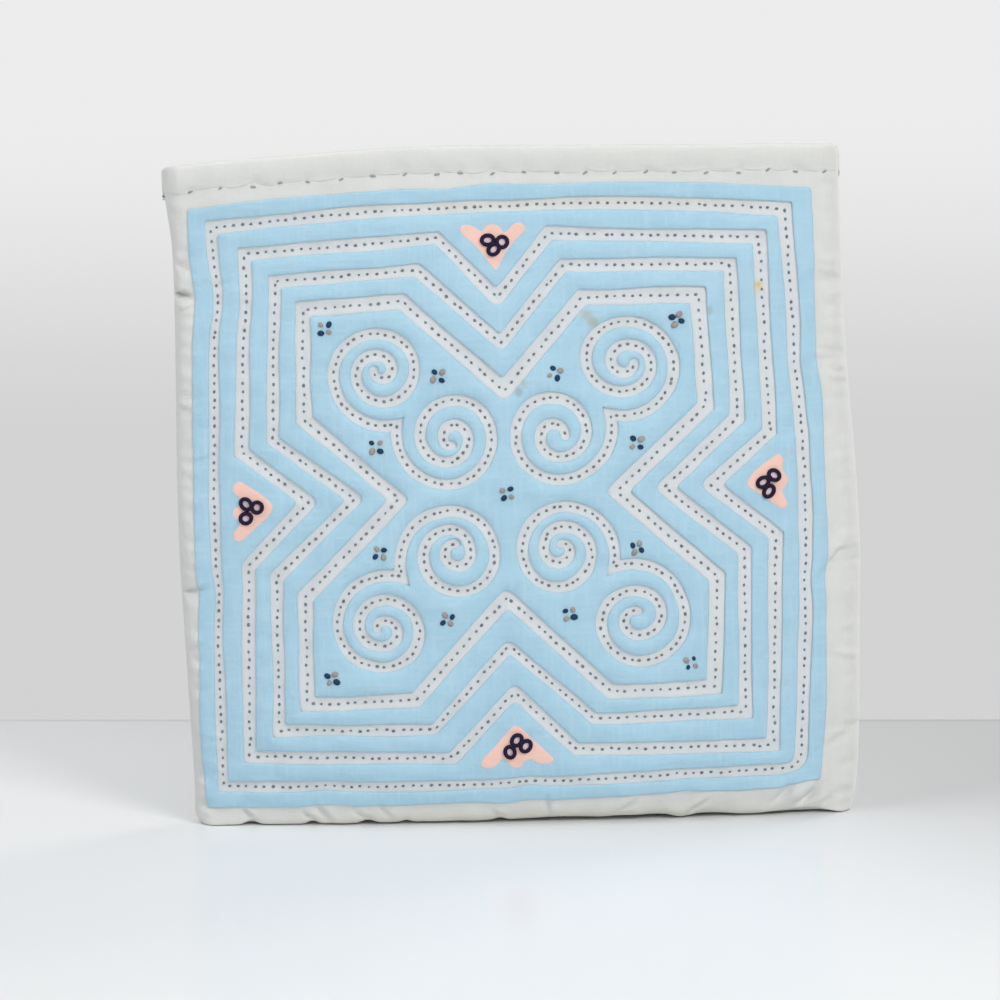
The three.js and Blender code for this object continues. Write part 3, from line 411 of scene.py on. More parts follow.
def from_table(rows, column, at):
    """A table's column at a place, smooth between its rows."""
    keys = rows[:, 0]
    values = rows[:, column]
    at = np.clip(np.asarray(at, float), keys[0], keys[-1])
    slope = np.gradient(values, keys)
    slope[1:-1] = (values[2:] - values[:-2]) / (keys[2:] - keys[:-2])
    i = np.clip(np.searchsorted(keys, at, side="right") - 1, 0, len(keys) - 2)
    span = keys[i + 1] - keys[i]
    t = (at - keys[i]) / span
    curve = t * t * (3 - 2 * t)
    bend = span * t * (1 - t) * ((1 - t) * slope[i] - t * slope[i + 1])
    return values[i] * (1 - curve) + values[i + 1] * curve + bend


def left_edge(z):
    return from_table(SECTIONS, 1, z)


def right_edge(z):
    return from_table(SECTIONS, 2, z)


def top_edge(x):
    return from_table(TOP_EDGE, 1, x)


def round_over(distance, radius):
    """Share of the full depth that is left at a distance into a quarter-round edge."""
    rest = 1 - np.clip(distance / radius, 0, 1)
    return np.sqrt(1 - rest * rest)


def bell(distance, width):
    return np.exp(-((distance / width) ** 2))


def ease(value, low, high):
    """Smooth step from 0 at low to 1 at high."""
    t = np.clip((value - low) / (high - low), 0, 1)
    return t * t * (3 - 2 * t)


def seam_inset(x, z):
    """Distance from the nearer side seam."""
    return np.minimum(x - left_edge(z), right_edge(z) - x)


def full_depth(x, z):
    """Half depth of the bag before its folds and before the round-over at the side seams."""
    left = left_edge(z)
    right = right_edge(z)
    across = np.minimum(np.abs((2 * x - left - right) / (right - left)), 1)
    crown = 1 - across ** CROWN_POWER
    belly = EDGE_DEPTH + (from_table(SECTIONS, 3, z) - EDGE_DEPTH) * crown
    base = EDGE_DEPTH + (BASE_DEPTH - EDGE_DEPTH) * crown
    return base + (belly - base) * round_over(z, ROLL_HEIGHT)


def seam_rounded(depth, x, z):
    return RIM_DEPTH + (depth - RIM_DEPTH) * round_over(seam_inset(x, z), EDGE_RADIUS)


def fold_depth(x, z):
    """Depth of all pinched folds, each a soft hollow with a sharper line along its middle."""
    total = np.zeros(np.broadcast(x, z).shape)
    for side, height, depth, spread, reach in FOLDS:
        inset = x - left_edge(z) if side == LEFT else right_edge(z) - x
        hollow = FOLD_SHARE * bell(z - height, spread) + FOLD_SHARE * bell(z - height, spread / FOLD_LINE)
        total = total + depth * hollow * bell(inset, reach)
    return total


def crease_depth(x, z, creases):
    """Depth of sharp creases, fading out towards their ends."""
    total = np.zeros(np.broadcast(x, z).shape)
    for (x0, z0), (x1, z1), depth, width in creases:
        dx, dz = x1 - x0, z1 - z0
        length = math.hypot(dx, dz)
        along = ((x - x0) * dx + (z - z0) * dz) / length
        across = ((z - z0) * dx - (x - x0) * dz) / length
        fade = bell(along / length - 0.5, 0.5)
        valley = bell(across, width / 2) - CREASE_LIP * bell(across - width, width)
        total = total + depth * fade * valley
    return total


def base_lift(x, z):
    """How far the cloth along the lower edge stands off the floor."""
    lift = np.maximum(from_table(BASE_LIFT, 1, x), 0)
    gaps = sum(height * bell(x - at, width) for at, height, width in GAPS)
    return (lift + gaps) * bell(z, LIFT_HEIGHT)


def ripple(x, z, seed, wavelength, stretch=1.0):
    """Smooth unevenness of about unit size, from seeded waves in all directions."""
    source = np.random.default_rng(seed)
    total = np.zeros(np.broadcast(x, z).shape)
    for _ in range(RIPPLE_WAVES):
        angle = source.uniform(0, math.pi)
        size = wavelength * source.uniform(*RIPPLE_SPREAD)
        phase = source.uniform(0, 2 * math.pi)
        run = (x * math.cos(angle) + z * math.sin(angle) / stretch) * 2 * math.pi / size
        total = total + np.sin(run + phase)
    return total / math.sqrt(RIPPLE_WAVES / 2)


def rippled(x, z, ripples):
    """Several ripples together, each with its height."""
    return sum(height * ripple(x, z, seed, length, stretch) for height, seed, length, stretch in ripples)


def seam_puckers(x, z, seed):
    """Small gathers along the side seams."""
    near_seam = bell(seam_inset(x, z) - PUCKER_INSET, PUCKER_REACH)
    return PUCKER_DEPTH * ripple(0 * x, z, seed, PUCKER_LENGTH) * near_seam


# Lines of the pattern

def wander(count, seed, fewest, most):
    """Closed run of smooth unevenness of about unit size, with so many waves on its way round."""
    source = np.random.default_rng(seed)
    turn = np.linspace(0, 2 * math.pi, count, endpoint=False)
    total = np.zeros(count)
    for waves in range(fewest, most):
        total += source.normal() * np.sin(waves * turn + source.uniform(0, 2 * math.pi))
    return total / total.std()


def mitred(points, distance, closed):
    """A line moved sideways to its left, mitred between neighbours."""
    if closed:
        before, after = np.roll(points, 1, axis=0), np.roll(points, -1, axis=0)
    else:
        first, last = 2 * points[0] - points[1], 2 * points[-1] - points[-2]
        before, after = np.vstack([first, points[:-1]]), np.vstack([points[1:], last])
    a = points - before
    b = after - points
    a /= np.linalg.norm(a, axis=1, keepdims=True)
    b /= np.linalg.norm(b, axis=1, keepdims=True)
    normal = np.stack([-a[:, 1] - b[:, 1], a[:, 0] + b[:, 0]], axis=1)
    normal /= np.maximum(np.linalg.norm(normal, axis=1, keepdims=True), 1e-9)
    stretch = np.maximum(-normal[:, 0] * a[:, 1] + normal[:, 1] * a[:, 0], MITRE_LEAST)
    return points + normal * (np.asarray(distance) / stretch)[:, None]


def softened(loop):
    """Closed line with its corners rounded."""
    before, after = np.roll(loop, 1, axis=0), np.roll(loop, -1, axis=0)
    return (before + CORNER_WEIGHT * loop + after) / (CORNER_WEIGHT + 2)


def stepped(corners):
    """Closed line through sixteen corners with the points of each run."""
    pieces = []
    for i, corner in enumerate(corners):
        steps = RUN_STEPS[i % len(RUN_STEPS)]
        share = np.arange(steps)[:, None] / steps
        pieces.append(corner + (corners[(i + 1) % len(corners)] - corner) * share)
    return np.vstack(pieces)


def swelled_square(corners, swells):
    """Square with swelling sides, its points at the stations of a band's runs."""
    pieces = []
    for i, swell in enumerate(swells):
        start, end = np.array(corners[i]), np.array(corners[(i + 1) % 4])
        run_along = end - start
        outward = np.array([-run_along[1], run_along[0]]) / np.linalg.norm(run_along)
        quarters = np.column_stack([np.linspace(0, 1, 5), (0, *swell, 0)])
        for run, steps in enumerate(RUN_STEPS):
            first, last = SIDE_STATIONS[run:run + 2]
            t = first + (last - first) * np.arange(steps) / steps
            pieces.append(start + t[:, None] * run_along + from_table(quarters, 1, t)[:, None] * outward)
    return np.vstack(pieces)


def turned(line, corner, reach):
    """A line with its points near one corner drawn onto a smooth bend."""
    near = np.flatnonzero(np.linalg.norm(line - corner, axis=1) < reach)
    start, end = line[near[0]], line[near[-1]]
    t = np.linspace(0, 1, len(near))[:, None]
    line = line.copy()
    line[near] = (1 - t) ** 2 * start + 2 * t * (1 - t) * np.array(corner) + t ** 2 * end
    return line


def pinched(line):
    """A line of the pattern, drawn in or lifted where a fold pinches the edge of the face."""
    x, z = line.T
    lift = (1 - ease(z, *LIFT_FADE)) * sum(by * bell(x - at, spread) for at, by, spread in LIFTS)
    shift = 0
    for at, height, by, spread, reach in PINCHES:
        shift = shift + by * bell(z - height, spread) * bell(x - at, reach)
    return np.stack([x + shift, z + lift], axis=1)


def hand_cut(loop, seed, waver=WAVER):
    """Closed edge with rounded corners and the unevenness of hand cutting."""
    loop = softened(loop)
    slow = wander(len(loop), seed, *SLOW_WAVES)
    quick = wander(len(loop), seed + 500, *QUICK_WAVES)
    return pinched(mitred(loop, waver * (slow + QUICK_SHARE * quick), True))


def spiral_line(cusp, centre, turn, radii):
    """One snail spiral as points from its cusp in to its middle."""
    cusp, centre = np.array(cusp), np.array(centre)
    arm = cusp - centre
    start = math.atan2(arm[1], arm[0])
    quarters = np.stack([np.arange(len(radii)), radii], axis=1)
    points = []
    quarter = 0.0
    while quarter < len(radii) - 1 + SPIRAL_PAST:
        blend = max(1 - quarter, 0) * (np.linalg.norm(arm) - radii[0])
        radius = float(from_table(quarters, 1, quarter)) + blend
        angle = start + turn * quarter * math.pi / 2
        points.append(centre + radius * np.array([math.cos(angle), math.sin(angle)]))
        quarter += SPIRAL_STEP / radius / (math.pi / 2)
    return np.array(points)


def spiral_path(cusp, outer, inner):
    """Line through a pair of spirals, from the middle of one to the middle of the other."""
    return np.vstack([spiral_line(cusp, *outer)[::-1], spiral_line(cusp, *inner)[1:]])


def tree_of(points):
    tree = KDTree(len(points))
    for i, (x, z) in enumerate(points):
        tree.insert((x, z, 0), i)
    tree.balance()
    return tree


def distances(tree, x, z):
    nearest = [tree.find((a, b, 0))[2] for a, b in zip(np.ravel(x), np.ravel(z))]
    return np.array(nearest).reshape(np.shape(x))


def untangled(side, path, half):
    """Offset side with the points that fall inside the channel drawn together at the crossing."""
    tree = tree_of(path)
    good = distances(tree, *side.T) > half - CROSSING_SLACK
    kept = np.flatnonzero(good)
    index = np.arange(len(side))
    return np.stack([np.interp(index, kept, side[kept, axis]) for axis in (0, 1)], axis=1)


def channel_loop(path, inset, waver):
    """Closed outline around a spiral path, with round ends that are a little narrower."""
    run = SPIRAL_STEP * np.arange(len(path))
    near_ends = bell(run, SPIRAL_TAPER_REACH) + bell(run[-1] - run, SPIRAL_TAPER_REACH)
    half = SPIRAL_WIDTH / 2 * (1 - SPIRAL_TAPER * near_ends) + inset
    left = untangled(mitred(path, half + waver[0], False), path, half - WAVER)
    right = untangled(mitred(path, -half - waver[1], False), path, half - WAVER)

    def cap(end, inner, size):
        ahead = (end - inner) / np.linalg.norm(end - inner)
        aside = np.array([-ahead[1], ahead[0]])
        angles = np.radians(CAP_ANGLES)
        return [end + size * (math.cos(a) * ahead + math.sin(a) * aside) for a in angles]

    return np.vstack([left, cap(path[-1], path[-2], half[-1]), right[::-1], cap(path[0], path[1], half[0])])


square = swelled_square(SQUARE_CORNERS, SQUARE_SWELLS)
square_line = pinched(turned(square, SQUARE_CORNERS[2], SQUARE_TURN))
star_corners = [np.array(corners) for _, corners in STAR_BANDS]
star_lines = [pinched(stepped(corners)) for corners in star_corners]
spiral_paths = [spiral_path(*pair) for pair in SPIRAL_PAIRS]
stitch_tree = tree_of(np.vstack([square_line, *star_lines, *spiral_paths]))


def square_edge(side, seed):
    """Outer or inner edge of the square band, whose four sides have their own widths."""
    corners = np.array(SQUARE_CORNERS)
    runs = np.roll(corners, -1, axis=0) - corners
    outward = np.stack([-runs[:, 1], runs[:, 0]], axis=1) / np.linalg.norm(runs, axis=1, keepdims=True)
    moves = outward * np.array(SQUARE_WIDTHS)[:, None] * side / 2
    moved = corners + moves + np.roll(moves, 1, axis=0)
    reach = SQUARE_TURN + SQUARE_TURN_STEP * side
    return hand_cut(turned(swelled_square(moved, SQUARE_SWELLS), moved[2], reach), seed)


def star_edge(band, side, seed):
    """Outer or inner edge of a notched band, whose four sides have their own widths."""
    widths = np.repeat(STAR_BANDS[band][0], len(RUN_STEPS))
    widths[::4] = (widths[::4] + np.roll(widths, 1)[::4]) / 2
    corners = mitred(star_corners[band], side * widths / 2, True)
    line = stepped(corners)
    for notch in corners[2::4]:
        line = turned(line, notch, NOTCH_TURN if side == INNER else NOTCH_TURN / 2)
    return hand_cut(line, seed)


blue_outline = hand_cut(swelled_square(BLUE_CORNERS, BLUE_SWELLS), 40, OUTER_WAVER)
outline_tree = tree_of(blue_outline)


# Outside of the cloth, as a depth from the middle plane

def padding(x, z):
    """Swelling of the padded face between its stitch lines."""
    swell = PUFF * (1 - bell(distances(stitch_tree, x, z), PUFF_REACH))
    return swell * ease(seam_inset(x, z), *PUFF_FROM_SEAM) * ease(z, *PUFF_FROM_BASE)


def face_depth(x, z):
    """Depth of the padded face with its folds, creases and unevenness."""
    inset = seam_inset(x, z)
    dented = np.maximum(full_depth(x, z) - fold_depth(x, z), FOLD_FLOOR)
    uneven = (rippled(x, z, FACE_RIPPLES) + seam_puckers(x, z, 5)) * ease(inset, 0, RIPPLE_CALM)
    creases = crease_depth(x, z, CREASES) * ease(inset, 0, CREASE_CALM)
    return seam_rounded(dented, x, z) + padding(x, z) - creases + uneven


def inside_loop(x, z, loop):
    """Whether places lie inside a closed line."""
    inside = np.zeros(np.shape(x), bool)
    for (x0, z0), (x1, z1) in zip(loop, np.roll(loop, -1, axis=0)):
        if z0 != z1:
            crosses = (z0 > z) != (z1 > z)
            inside ^= crosses & (x < x0 + (z - z0) * (x1 - x0) / (z1 - z0))
    return inside


def ground_depth(x, z):
    """Depth of the white panel, which sinks a little where the blue layer covers it."""
    between_bands = ease(distances(stitch_tree, x, z), *SINK_FROM_BAND)
    from_outline = ease(distances(outline_tree, x, z), *SINK_FROM_OUTLINE)
    inside_blue = inside_loop(x, z, blue_outline) * from_outline
    return face_depth(x, z) - UNDER_BLUE * between_bands * inside_blue


def back_depth(x, z):
    """Depth of the plain back with its wrinkles and gathers."""
    dents = rippled(x, z, BACK_RIPPLES) + seam_puckers(x, z, 23)
    gathers = GATHER_DEPTH * ripple(x, 0 * z, 24, GATHER_LENGTH) * bell(z, GATHER_HEIGHT)
    even = seam_rounded(full_depth(x, z) * BACK_FULLNESS, x, z)
    uneven = dents - gathers - crease_depth(x, z, BACK_CREASES)
    return even + uneven * ease(seam_inset(x, z), 0, BACK_CALM)


def on_face(x, z, height):
    """Points in front of the face at a height above its cloth."""
    return np.stack([x, -(face_depth(x, z) + height), z], axis=-1)


def face_normals(x, z):
    step = 0.4
    slope_x = (face_depth(x + step, z) - face_depth(x - step, z)) / (2 * step)
    slope_z = (face_depth(x, z + step) - face_depth(x, z - step)) / (2 * step)
    normal = np.stack([-slope_x, -np.ones_like(slope_x), -slope_z], axis=-1)
    return normal / np.linalg.norm(normal, axis=-1, keepdims=True)


# Mesh helpers

def grid_faces(rows, columns, closed=False):
    """Quads of a grid of points; a closed grid joins its last column to its first."""
    here = columns * np.arange(rows - 1)[:, None]
    above = here + columns
    column = np.arange(columns if closed else columns - 1)[None, :]
    after = (column + 1) % columns
    corners = np.broadcast_arrays(here + column, here + after, above + after, above + column)
    return np.stack(corners, axis=-1).reshape(-1, 4)


def turn_outward(mesh, direction):
    """Makes faces agree with each other and look along a direction on the whole."""
    work = bmesh.new()
    work.from_mesh(mesh)
    bmesh.ops.recalc_face_normals(work, faces=work.faces)
    facing = sum((face.normal * face.calc_area() for face in work.faces), Vector())
    if facing.dot(Vector(direction)) < 0:
        bmesh.ops.reverse_faces(work, faces=work.faces)
    work.to_mesh(mesh)
    work.free()


def new_piece(name, points, faces, material, slot, nodes=(), outward=None):
    """Smooth mesh from points in millimetres, riding on the bag and standing for the given nodes.
    Where outward is given, its faces look that way on the whole."""
    mesh = bpy.data.meshes.new(name)
    in_metres = (np.reshape(points, (-1, 3)) * MM).tolist()
    mesh.from_pydata(in_metres, [], [list(map(int, face)) for face in faces])
    mesh.validate()
    mesh.shade_smooth()
    mesh.materials.append(material)
    if outward:
        turn_outward(mesh, outward)
    piece = bpy.data.objects.new(name, mesh)
    bpy.context.collection.objects.link(piece)
    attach(piece, "root")
    if nodes:
        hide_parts(*nodes)
    return piece


def grid_piece(name, points, material, slot, nodes, outward, closed=False):
    """Piece from rows of points."""
    faces = grid_faces(*np.shape(points)[:2], closed)
    return new_piece(name, points, faces, material, slot, nodes, outward)


def joined(shapes):
    """Points and faces of several shapes as one shape."""
    points, faces = [], []
    total = 0
    for shape_points, shape_faces in shapes:
        points.append(np.asarray(shape_points, float))
        faces += [[int(corner) + total for corner in face] for face in shape_faces]
        total += len(shape_points)
    return np.vstack(points), faces


def bead_mesh():
    """Unit sphere as points and faces, the pattern for stitches, knots and coil loops."""
    polar = np.linspace(0, math.pi, BEAD_RINGS + 1)[1:-1]
    around = np.linspace(0, 2 * math.pi, BEAD_SEGMENTS, endpoint=False)
    body = []
    for p in polar:
        body += [(math.cos(p), math.sin(p) * math.cos(a), math.sin(p) * math.sin(a)) for a in around]
    points = np.array(body + [(1, 0, 0), (-1, 0, 0)])
    faces = [list(face) for face in grid_faces(BEAD_RINGS - 1, BEAD_SEGMENTS, True)]
    first, last = len(body), len(body) + 1
    start = (BEAD_RINGS - 2) * BEAD_SEGMENTS
    for i in range(BEAD_SEGMENTS):
        after = (i + 1) % BEAD_SEGMENTS
        faces.append([first, after, i])
        faces.append([last, start + i, start + after])
    return points, faces


def bead_piece(name, material, slot, middles, along, normals, sizes, nodes=()):
    """Piece of ellipsoids at middles; sizes are half length, half width and half height of each."""
    shape, faces = bead_mesh()
    along = along - normals * np.sum(along * normals, axis=1, keepdims=True)
    along /= np.linalg.norm(along, axis=1, keepdims=True)
    aside = np.cross(normals, along)
    points = middles[:, None, :] + sum(
        shape[None, :, axis, None] * (direction * sizes[:, axis, None])[:, None, :]
        for axis, direction in enumerate((along, aside, normals))
    )
    every = [[corner + i * len(shape) for corner in face] for i in range(len(middles)) for face in faces]
    return new_piece(name, points, every, material, slot, nodes)


def tube(path, radius):
    """Closed tube along a closed path of points in space."""
    ahead = np.roll(path, -1, axis=0) - np.roll(path, 1, axis=0)
    ahead /= np.linalg.norm(ahead, axis=1, keepdims=True)
    up = np.cross(ahead, (0.0, 1.0, 0.0))
    up /= np.linalg.norm(up, axis=1, keepdims=True)
    side = np.cross(up, ahead)
    turn = np.linspace(0, 2 * math.pi, TUBE_SIDES, endpoint=False)[None, :, None]
    ring = np.cos(turn) * up[:, None, :] + np.sin(turn) * side[:, None, :]
    points = path[:, None, :] + radius * ring
    faces = grid_faces(len(path) + 1, TUBE_SIDES, True) % (len(path) * TUBE_SIDES)
    return points.reshape(-1, 3), faces


def spaced_along(line, pitch, closed, seed):
    """Places and directions along a line at an even pitch with seeded unevenness."""
    if closed:
        line = np.vstack([line, line[:1]])
    run = np.concatenate([[0], np.cumsum(np.linalg.norm(np.diff(line, axis=0), axis=1))])
    count = max(int(round(run[-1] / pitch)), 2)
    source = np.random.default_rng(seed)
    at = (np.arange(count) + 0.5) * run[-1] / count + source.normal(0, STITCH_JITTER, count)
    at = np.clip(at, 0, run[-1])

    def point_at(distance):
        return np.stack([np.interp(distance, run, line[:, axis]) for axis in (0, 1)], axis=1)

    return point_at(at), point_at(at + STITCH_LOOK) - point_at(at - STITCH_LOOK)


# Materials

def new_material(name):
    """Material with its node tree and its shader."""
    material = bpy.data.materials.new(name)
    material.use_nodes = True
    tree = material.node_tree
    return material, tree, tree.nodes["Principled BSDF"]


def feed(tree, node, inputs):
    """Puts values on a node's inputs; an output of another node is linked."""
    for name, value in inputs.items():
        if isinstance(value, bpy.types.NodeSocket):
            tree.links.new(value, node.inputs[name])
        else:
            node.inputs[name].default_value = value


def new_node(tree, kind, inputs):
    """Shader node of a kind with its inputs."""
    node = tree.nodes.new("ShaderNode" + kind)
    feed(tree, node, inputs)
    return node


def computed(tree, kind, operation, *values):
    """Result of a maths node (kind Math) or of a vector node (kind VectorMath)."""
    node = tree.nodes.new("ShaderNode" + kind)
    node.operation = operation
    feed(tree, node, dict(enumerate(values)))
    gives_vector = kind == "VectorMath" and operation not in ("DISTANCE", "DOT_PRODUCT")
    return node.outputs["Vector" if gives_vector else "Value"]


def mix_colours(tree, factor, first, second):
    mix = tree.nodes.new("ShaderNodeMix")
    mix.data_type = "RGBA"
    feed(tree, mix, {0: factor, 6: first, 7: second})
    return mix.outputs[2]


def ramped(tree, value, start, end, low=0.0, high=1.0, smooth=False):
    """A value's range from start to end, drawn onto the range from low to high."""
    spans = {"From Min": start, "From Max": end, "To Min": low, "To Max": high}
    ramp = new_node(tree, "MapRange", {"Value": value, **spans})
    if smooth:
        ramp.interpolation_type = "SMOOTHSTEP"
    return ramp.outputs["Result"]


def object_place(tree):
    return new_node(tree, "TexCoord", {}).outputs["Object"]


def split_place(tree, place):
    return new_node(tree, "SeparateXYZ", {"Vector": place}).outputs


def stretched_place(tree, scale):
    """Object coordinates scaled along each axis."""
    return new_node(tree, "Mapping", {"Scale": scale, "Vector": object_place(tree)}).outputs["Vector"]


def noise_value(tree, scale, detail, stretch=(1, 1, 1)):
    inputs = {"Scale": scale, "Detail": detail, "Vector": stretched_place(tree, stretch)}
    return new_node(tree, "TexNoise", inputs).outputs["Fac"]


def wave_value(tree, direction, stretch, inputs):
    """Bands across a direction."""
    place = stretched_place(tree, (stretch, stretch, stretch))
    wave = new_node(tree, "TexWave", {"Vector": place, **inputs})
    wave.bands_direction = direction
    return wave.outputs["Fac"]


def weave_height(tree, threads_per_metre):
    """Plain weave: threads along X and Z, a little uneven."""
    scale = threads_per_metre / WAVE_PHASE
    inputs = {"Scale": scale, "Distortion": 1.2, "Detail": 1.0, "Detail Scale": 3.0}
    threads = [wave_value(tree, axis, 2 * math.pi, inputs) for axis in ("X", "Z")]
    return computed(tree, "Math", "ADD", *threads)


def bumped(tree, height, strength, distance, below=None):
    """Normal with a relief, on top of another normal where one is given."""
    inputs = {"Height": height, "Strength": strength, "Distance": distance}
    if below is not None:
        inputs["Normal"] = below
    return new_node(tree, "Bump", inputs).outputs["Normal"]


def spot_mask(tree, centre, size):
    """Soft round mark on the face: 1 at its centre and 0 outside its size, in millimetres."""
    place = stretched_place(tree, (1 / (size[0] * MM), 0, 1 / (size[1] * MM)))
    middle = (centre[0] / size[0], 0, centre[1] / size[1])
    return ramped(tree, computed(tree, "VectorMath", "DISTANCE", place, middle), 1.0, SPOT_CORE, smooth=True)


def spotted(tree, base, spots):
    """A colour with soft round marks laid over it."""
    for centre, size, tone, strength in spots:
        share = computed(tree, "Math", "MULTIPLY", spot_mask(tree, centre, size), strength)
        base = mix_colours(tree, share, base, tone)
    return base


def inside_mask(tree):
    """1 over the applique square and 0 on the border around it."""
    place = computed(tree, "VectorMath", "SUBTRACT", object_place(tree), SQUARE_MIDDLE)
    place = computed(tree, "VectorMath", "ABSOLUTE", place)
    sides = split_place(tree, computed(tree, "VectorMath", "DIVIDE", place, SQUARE_HALF))
    return ramped(tree, computed(tree, "Math", "MAXIMUM", sides["X"], sides["Z"]), 1.0, SQUARE_FADE)


def cotton(name, colour, shade, thread_tone, streaks, weave=2400, weave_bump=0.14, spots=(), inside=None):
    """Woven cotton: uneven dye, faint threads, fine weave and small crinkles."""
    material, tree, shader = new_material(name)
    base = mix_colours(tree, noise_value(tree, scale=55, detail=4), shade, colour)
    if inside:
        base = mix_colours(tree, inside_mask(tree), base, inside)
    upright = noise_value(tree, scale=60, detail=3, stretch=(20, 20, 1.4))
    level = noise_value(tree, scale=57, detail=3, stretch=(1.4, 20, 20))
    threads = computed(tree, "Math", "MAXIMUM", upright, level)
    base = mix_colours(tree, ramped(tree, threads, 0.46, 0.74, high=streaks), base, thread_tone)
    crinkles = bumped(tree, noise_value(tree, scale=420, detail=3), strength=0.35, distance=0.0004)
    ridges = bumped(tree, threads, strength=0.3, distance=0.00015, below=crinkles)
    feed(tree, shader, {
        "Base Color": spotted(tree, base, spots),
        "Roughness": ramped(tree, noise_value(tree, scale=900, detail=2), 0, 1, low=0.82, high=0.98),
        "Specular IOR Level": 0.2,
        "Sheen Weight": 0.12,
        "Sheen Roughness": 0.5,
        "Normal": bumped(tree, weave_height(tree, weave), weave_bump, distance=0.00008, below=ridges),
    })
    return material


def thread(name, dark, light, roughness):
    """Twisted cotton thread, uneven between two tones."""
    material, tree, shader = new_material(name)
    twist = wave_value(tree, "DIAGONAL", 1, {"Scale": 900, "Distortion": 2.0})
    feed(tree, shader, {
        "Base Color": mix_colours(tree, noise_value(tree, scale=700, detail=3), light, dark),
        "Roughness": roughness,
        "Specular IOR Level": 0.2,
        "Normal": bumped(tree, twist, strength=0.6, distance=0.0001),
    })
    return material


def satin_metal(name, dark, light):
    """Satin nickel with fine brushing."""
    material, tree, shader = new_material(name)
    brushed = noise_value(tree, scale=300, detail=3, stretch=(1, 14, 14))
    feed(tree, shader, {
        "Base Color": mix_colours(tree, brushed, dark, light),
        "Metallic": 1.0,
        "Roughness": 0.32,
        "Normal": bumped(tree, brushed, strength=0.15, distance=0.0001),
    })
    return material


def nylon(name, dark, light):
    """Off-white nylon coil."""
    material, tree, shader = new_material(name)
    uneven = noise_value(tree, scale=400, detail=2)
    feed(tree, shader, {
        "Base Color": mix_colours(tree, uneven, dark, light),
        "Roughness": 0.42,
        "Normal": bumped(tree, uneven, strength=0.2, distance=0.00005),
    })
    return material


white_face = cotton(
    "white_face", (0.70, 0.705, 0.685, 1), (0.65, 0.655, 0.635, 1), (0.73, 0.735, 0.72, 1), 0.3,
    spots=(*STAINS, BASE_WARM_TINT), inside=(0.655, 0.685, 0.705, 1))
white_plain = cotton(
    "white_plain", (0.71, 0.715, 0.69, 1), (0.66, 0.665, 0.64, 1), (0.74, 0.745, 0.72, 1), 0.25)
blue_cloth = cotton(
    "blue_cloth", (0.40, 0.615, 0.74, 1), (0.36, 0.57, 0.70, 1), (0.48, 0.67, 0.77, 1), 0.5, spots=STAINS)
pink_cloth = cotton(
    "pink_cloth", (0.88, 0.595, 0.515, 1), (0.86, 0.54, 0.455, 1), (0.88, 0.64, 0.58, 1), 0.35,
    spots=[(middle, *RING_GROUND) for middle in PINK_RINGS])
tape_cloth = cotton(
    "tape_cloth", (0.64, 0.65, 0.62, 1), (0.58, 0.59, 0.56, 1), (0.68, 0.68, 0.66, 1), 0.35,
    weave=1800, weave_bump=0.5)
stitch_thread = thread("stitch_thread", (0.05, 0.05, 0.06, 1), (0.38, 0.37, 0.38, 1), 0.8)
hem_thread = thread("hem_thread", (0.28, 0.28, 0.285, 1), (0.40, 0.40, 0.40, 1), 0.8)
ring_thread = thread("ring_thread", (0.010, 0.006, 0.022, 1), (0.022, 0.011, 0.045, 1), 0.75)
navy_thread = thread("navy_thread", (0.008, 0.028, 0.06, 1), (0.02, 0.065, 0.14, 1), 0.7)
tan_thread = thread("tan_thread", (0.24, 0.19, 0.185, 1), (0.46, 0.42, 0.385, 1), 0.7)
metal = satin_metal("slider_metal", (0.42, 0.42, 0.43, 1), (0.66, 0.66, 0.67, 1))
coil_nylon = nylon("coil_nylon", (0.52, 0.53, 0.50, 1), (0.68, 0.69, 0.66, 1))


# White panels

def round_steps(count, radius):
    """Distances from 0 to a radius that follow a quarter round evenly."""
    share = np.linspace(0, 1, count)
    return radius * (1 - np.sqrt(1 - share * share))


def panel_places(drop):
    """Grid of places on a panel from the base line up, crowded towards the seams and the rounded base."""
    inset = round_steps(SEAM_COLUMNS, EDGE_RADIUS)
    across = np.linspace(0, 1, FACE_COLUMNS)[1:-1]
    share_across = np.concatenate([np.zeros(SEAM_COLUMNS), across, np.ones(SEAM_COLUMNS)])
    past_left = np.concatenate([inset, np.full_like(across, EDGE_RADIUS), 2 * EDGE_RADIUS - inset[::-1]])
    roll = ROLL_HEIGHT * np.linspace(0, 1, ROLL_ROWS) ** ROLL_CROWDING
    share_up = np.concatenate([np.zeros(ROLL_ROWS), np.linspace(0, 1, FACE_ROWS + 1)[1:]])[:, None]
    start = np.concatenate([roll, np.full(FACE_ROWS, ROLL_HEIGHT)])[:, None]
    z = start + share_up * (float(top_edge(0.0)) - drop - HEM_COVER - ROLL_HEIGHT)
    for _ in range(PLACE_PASSES):
        left, right = left_edge(z), right_edge(z)
        x = left + share_across * (right - left - 2 * EDGE_RADIUS) + past_left
        z = start + share_up * (top_edge(x) - drop - HEM_COVER - ROLL_HEIGHT)
    return x, z


def panel(name, depth, side, drop, material, nodes):
    """One panel: from the seam under the base, out along the base and up to the top edge."""
    x, z = panel_places(drop)
    reach = depth(x, z)
    lift = base_lift(x, z) if side == FRONT else np.zeros_like(z)
    face = np.stack([x, side * reach, z + lift], axis=-1)
    shares = np.linspace(0, 1, BASE_ROWS, endpoint=False)[:, None, None]
    seam = np.stack([x[0], np.full_like(x[0], side * RIM_DEPTH), np.zeros_like(x[0])], axis=-1)
    base = seam + (face[0] - seam) * np.concatenate([shares, shares, shares ** BASE_RISE], axis=-1)
    return grid_piece(name, np.concatenate([base, face]), material, "white_cotton", nodes, (0, side, 0))


# Blue layer

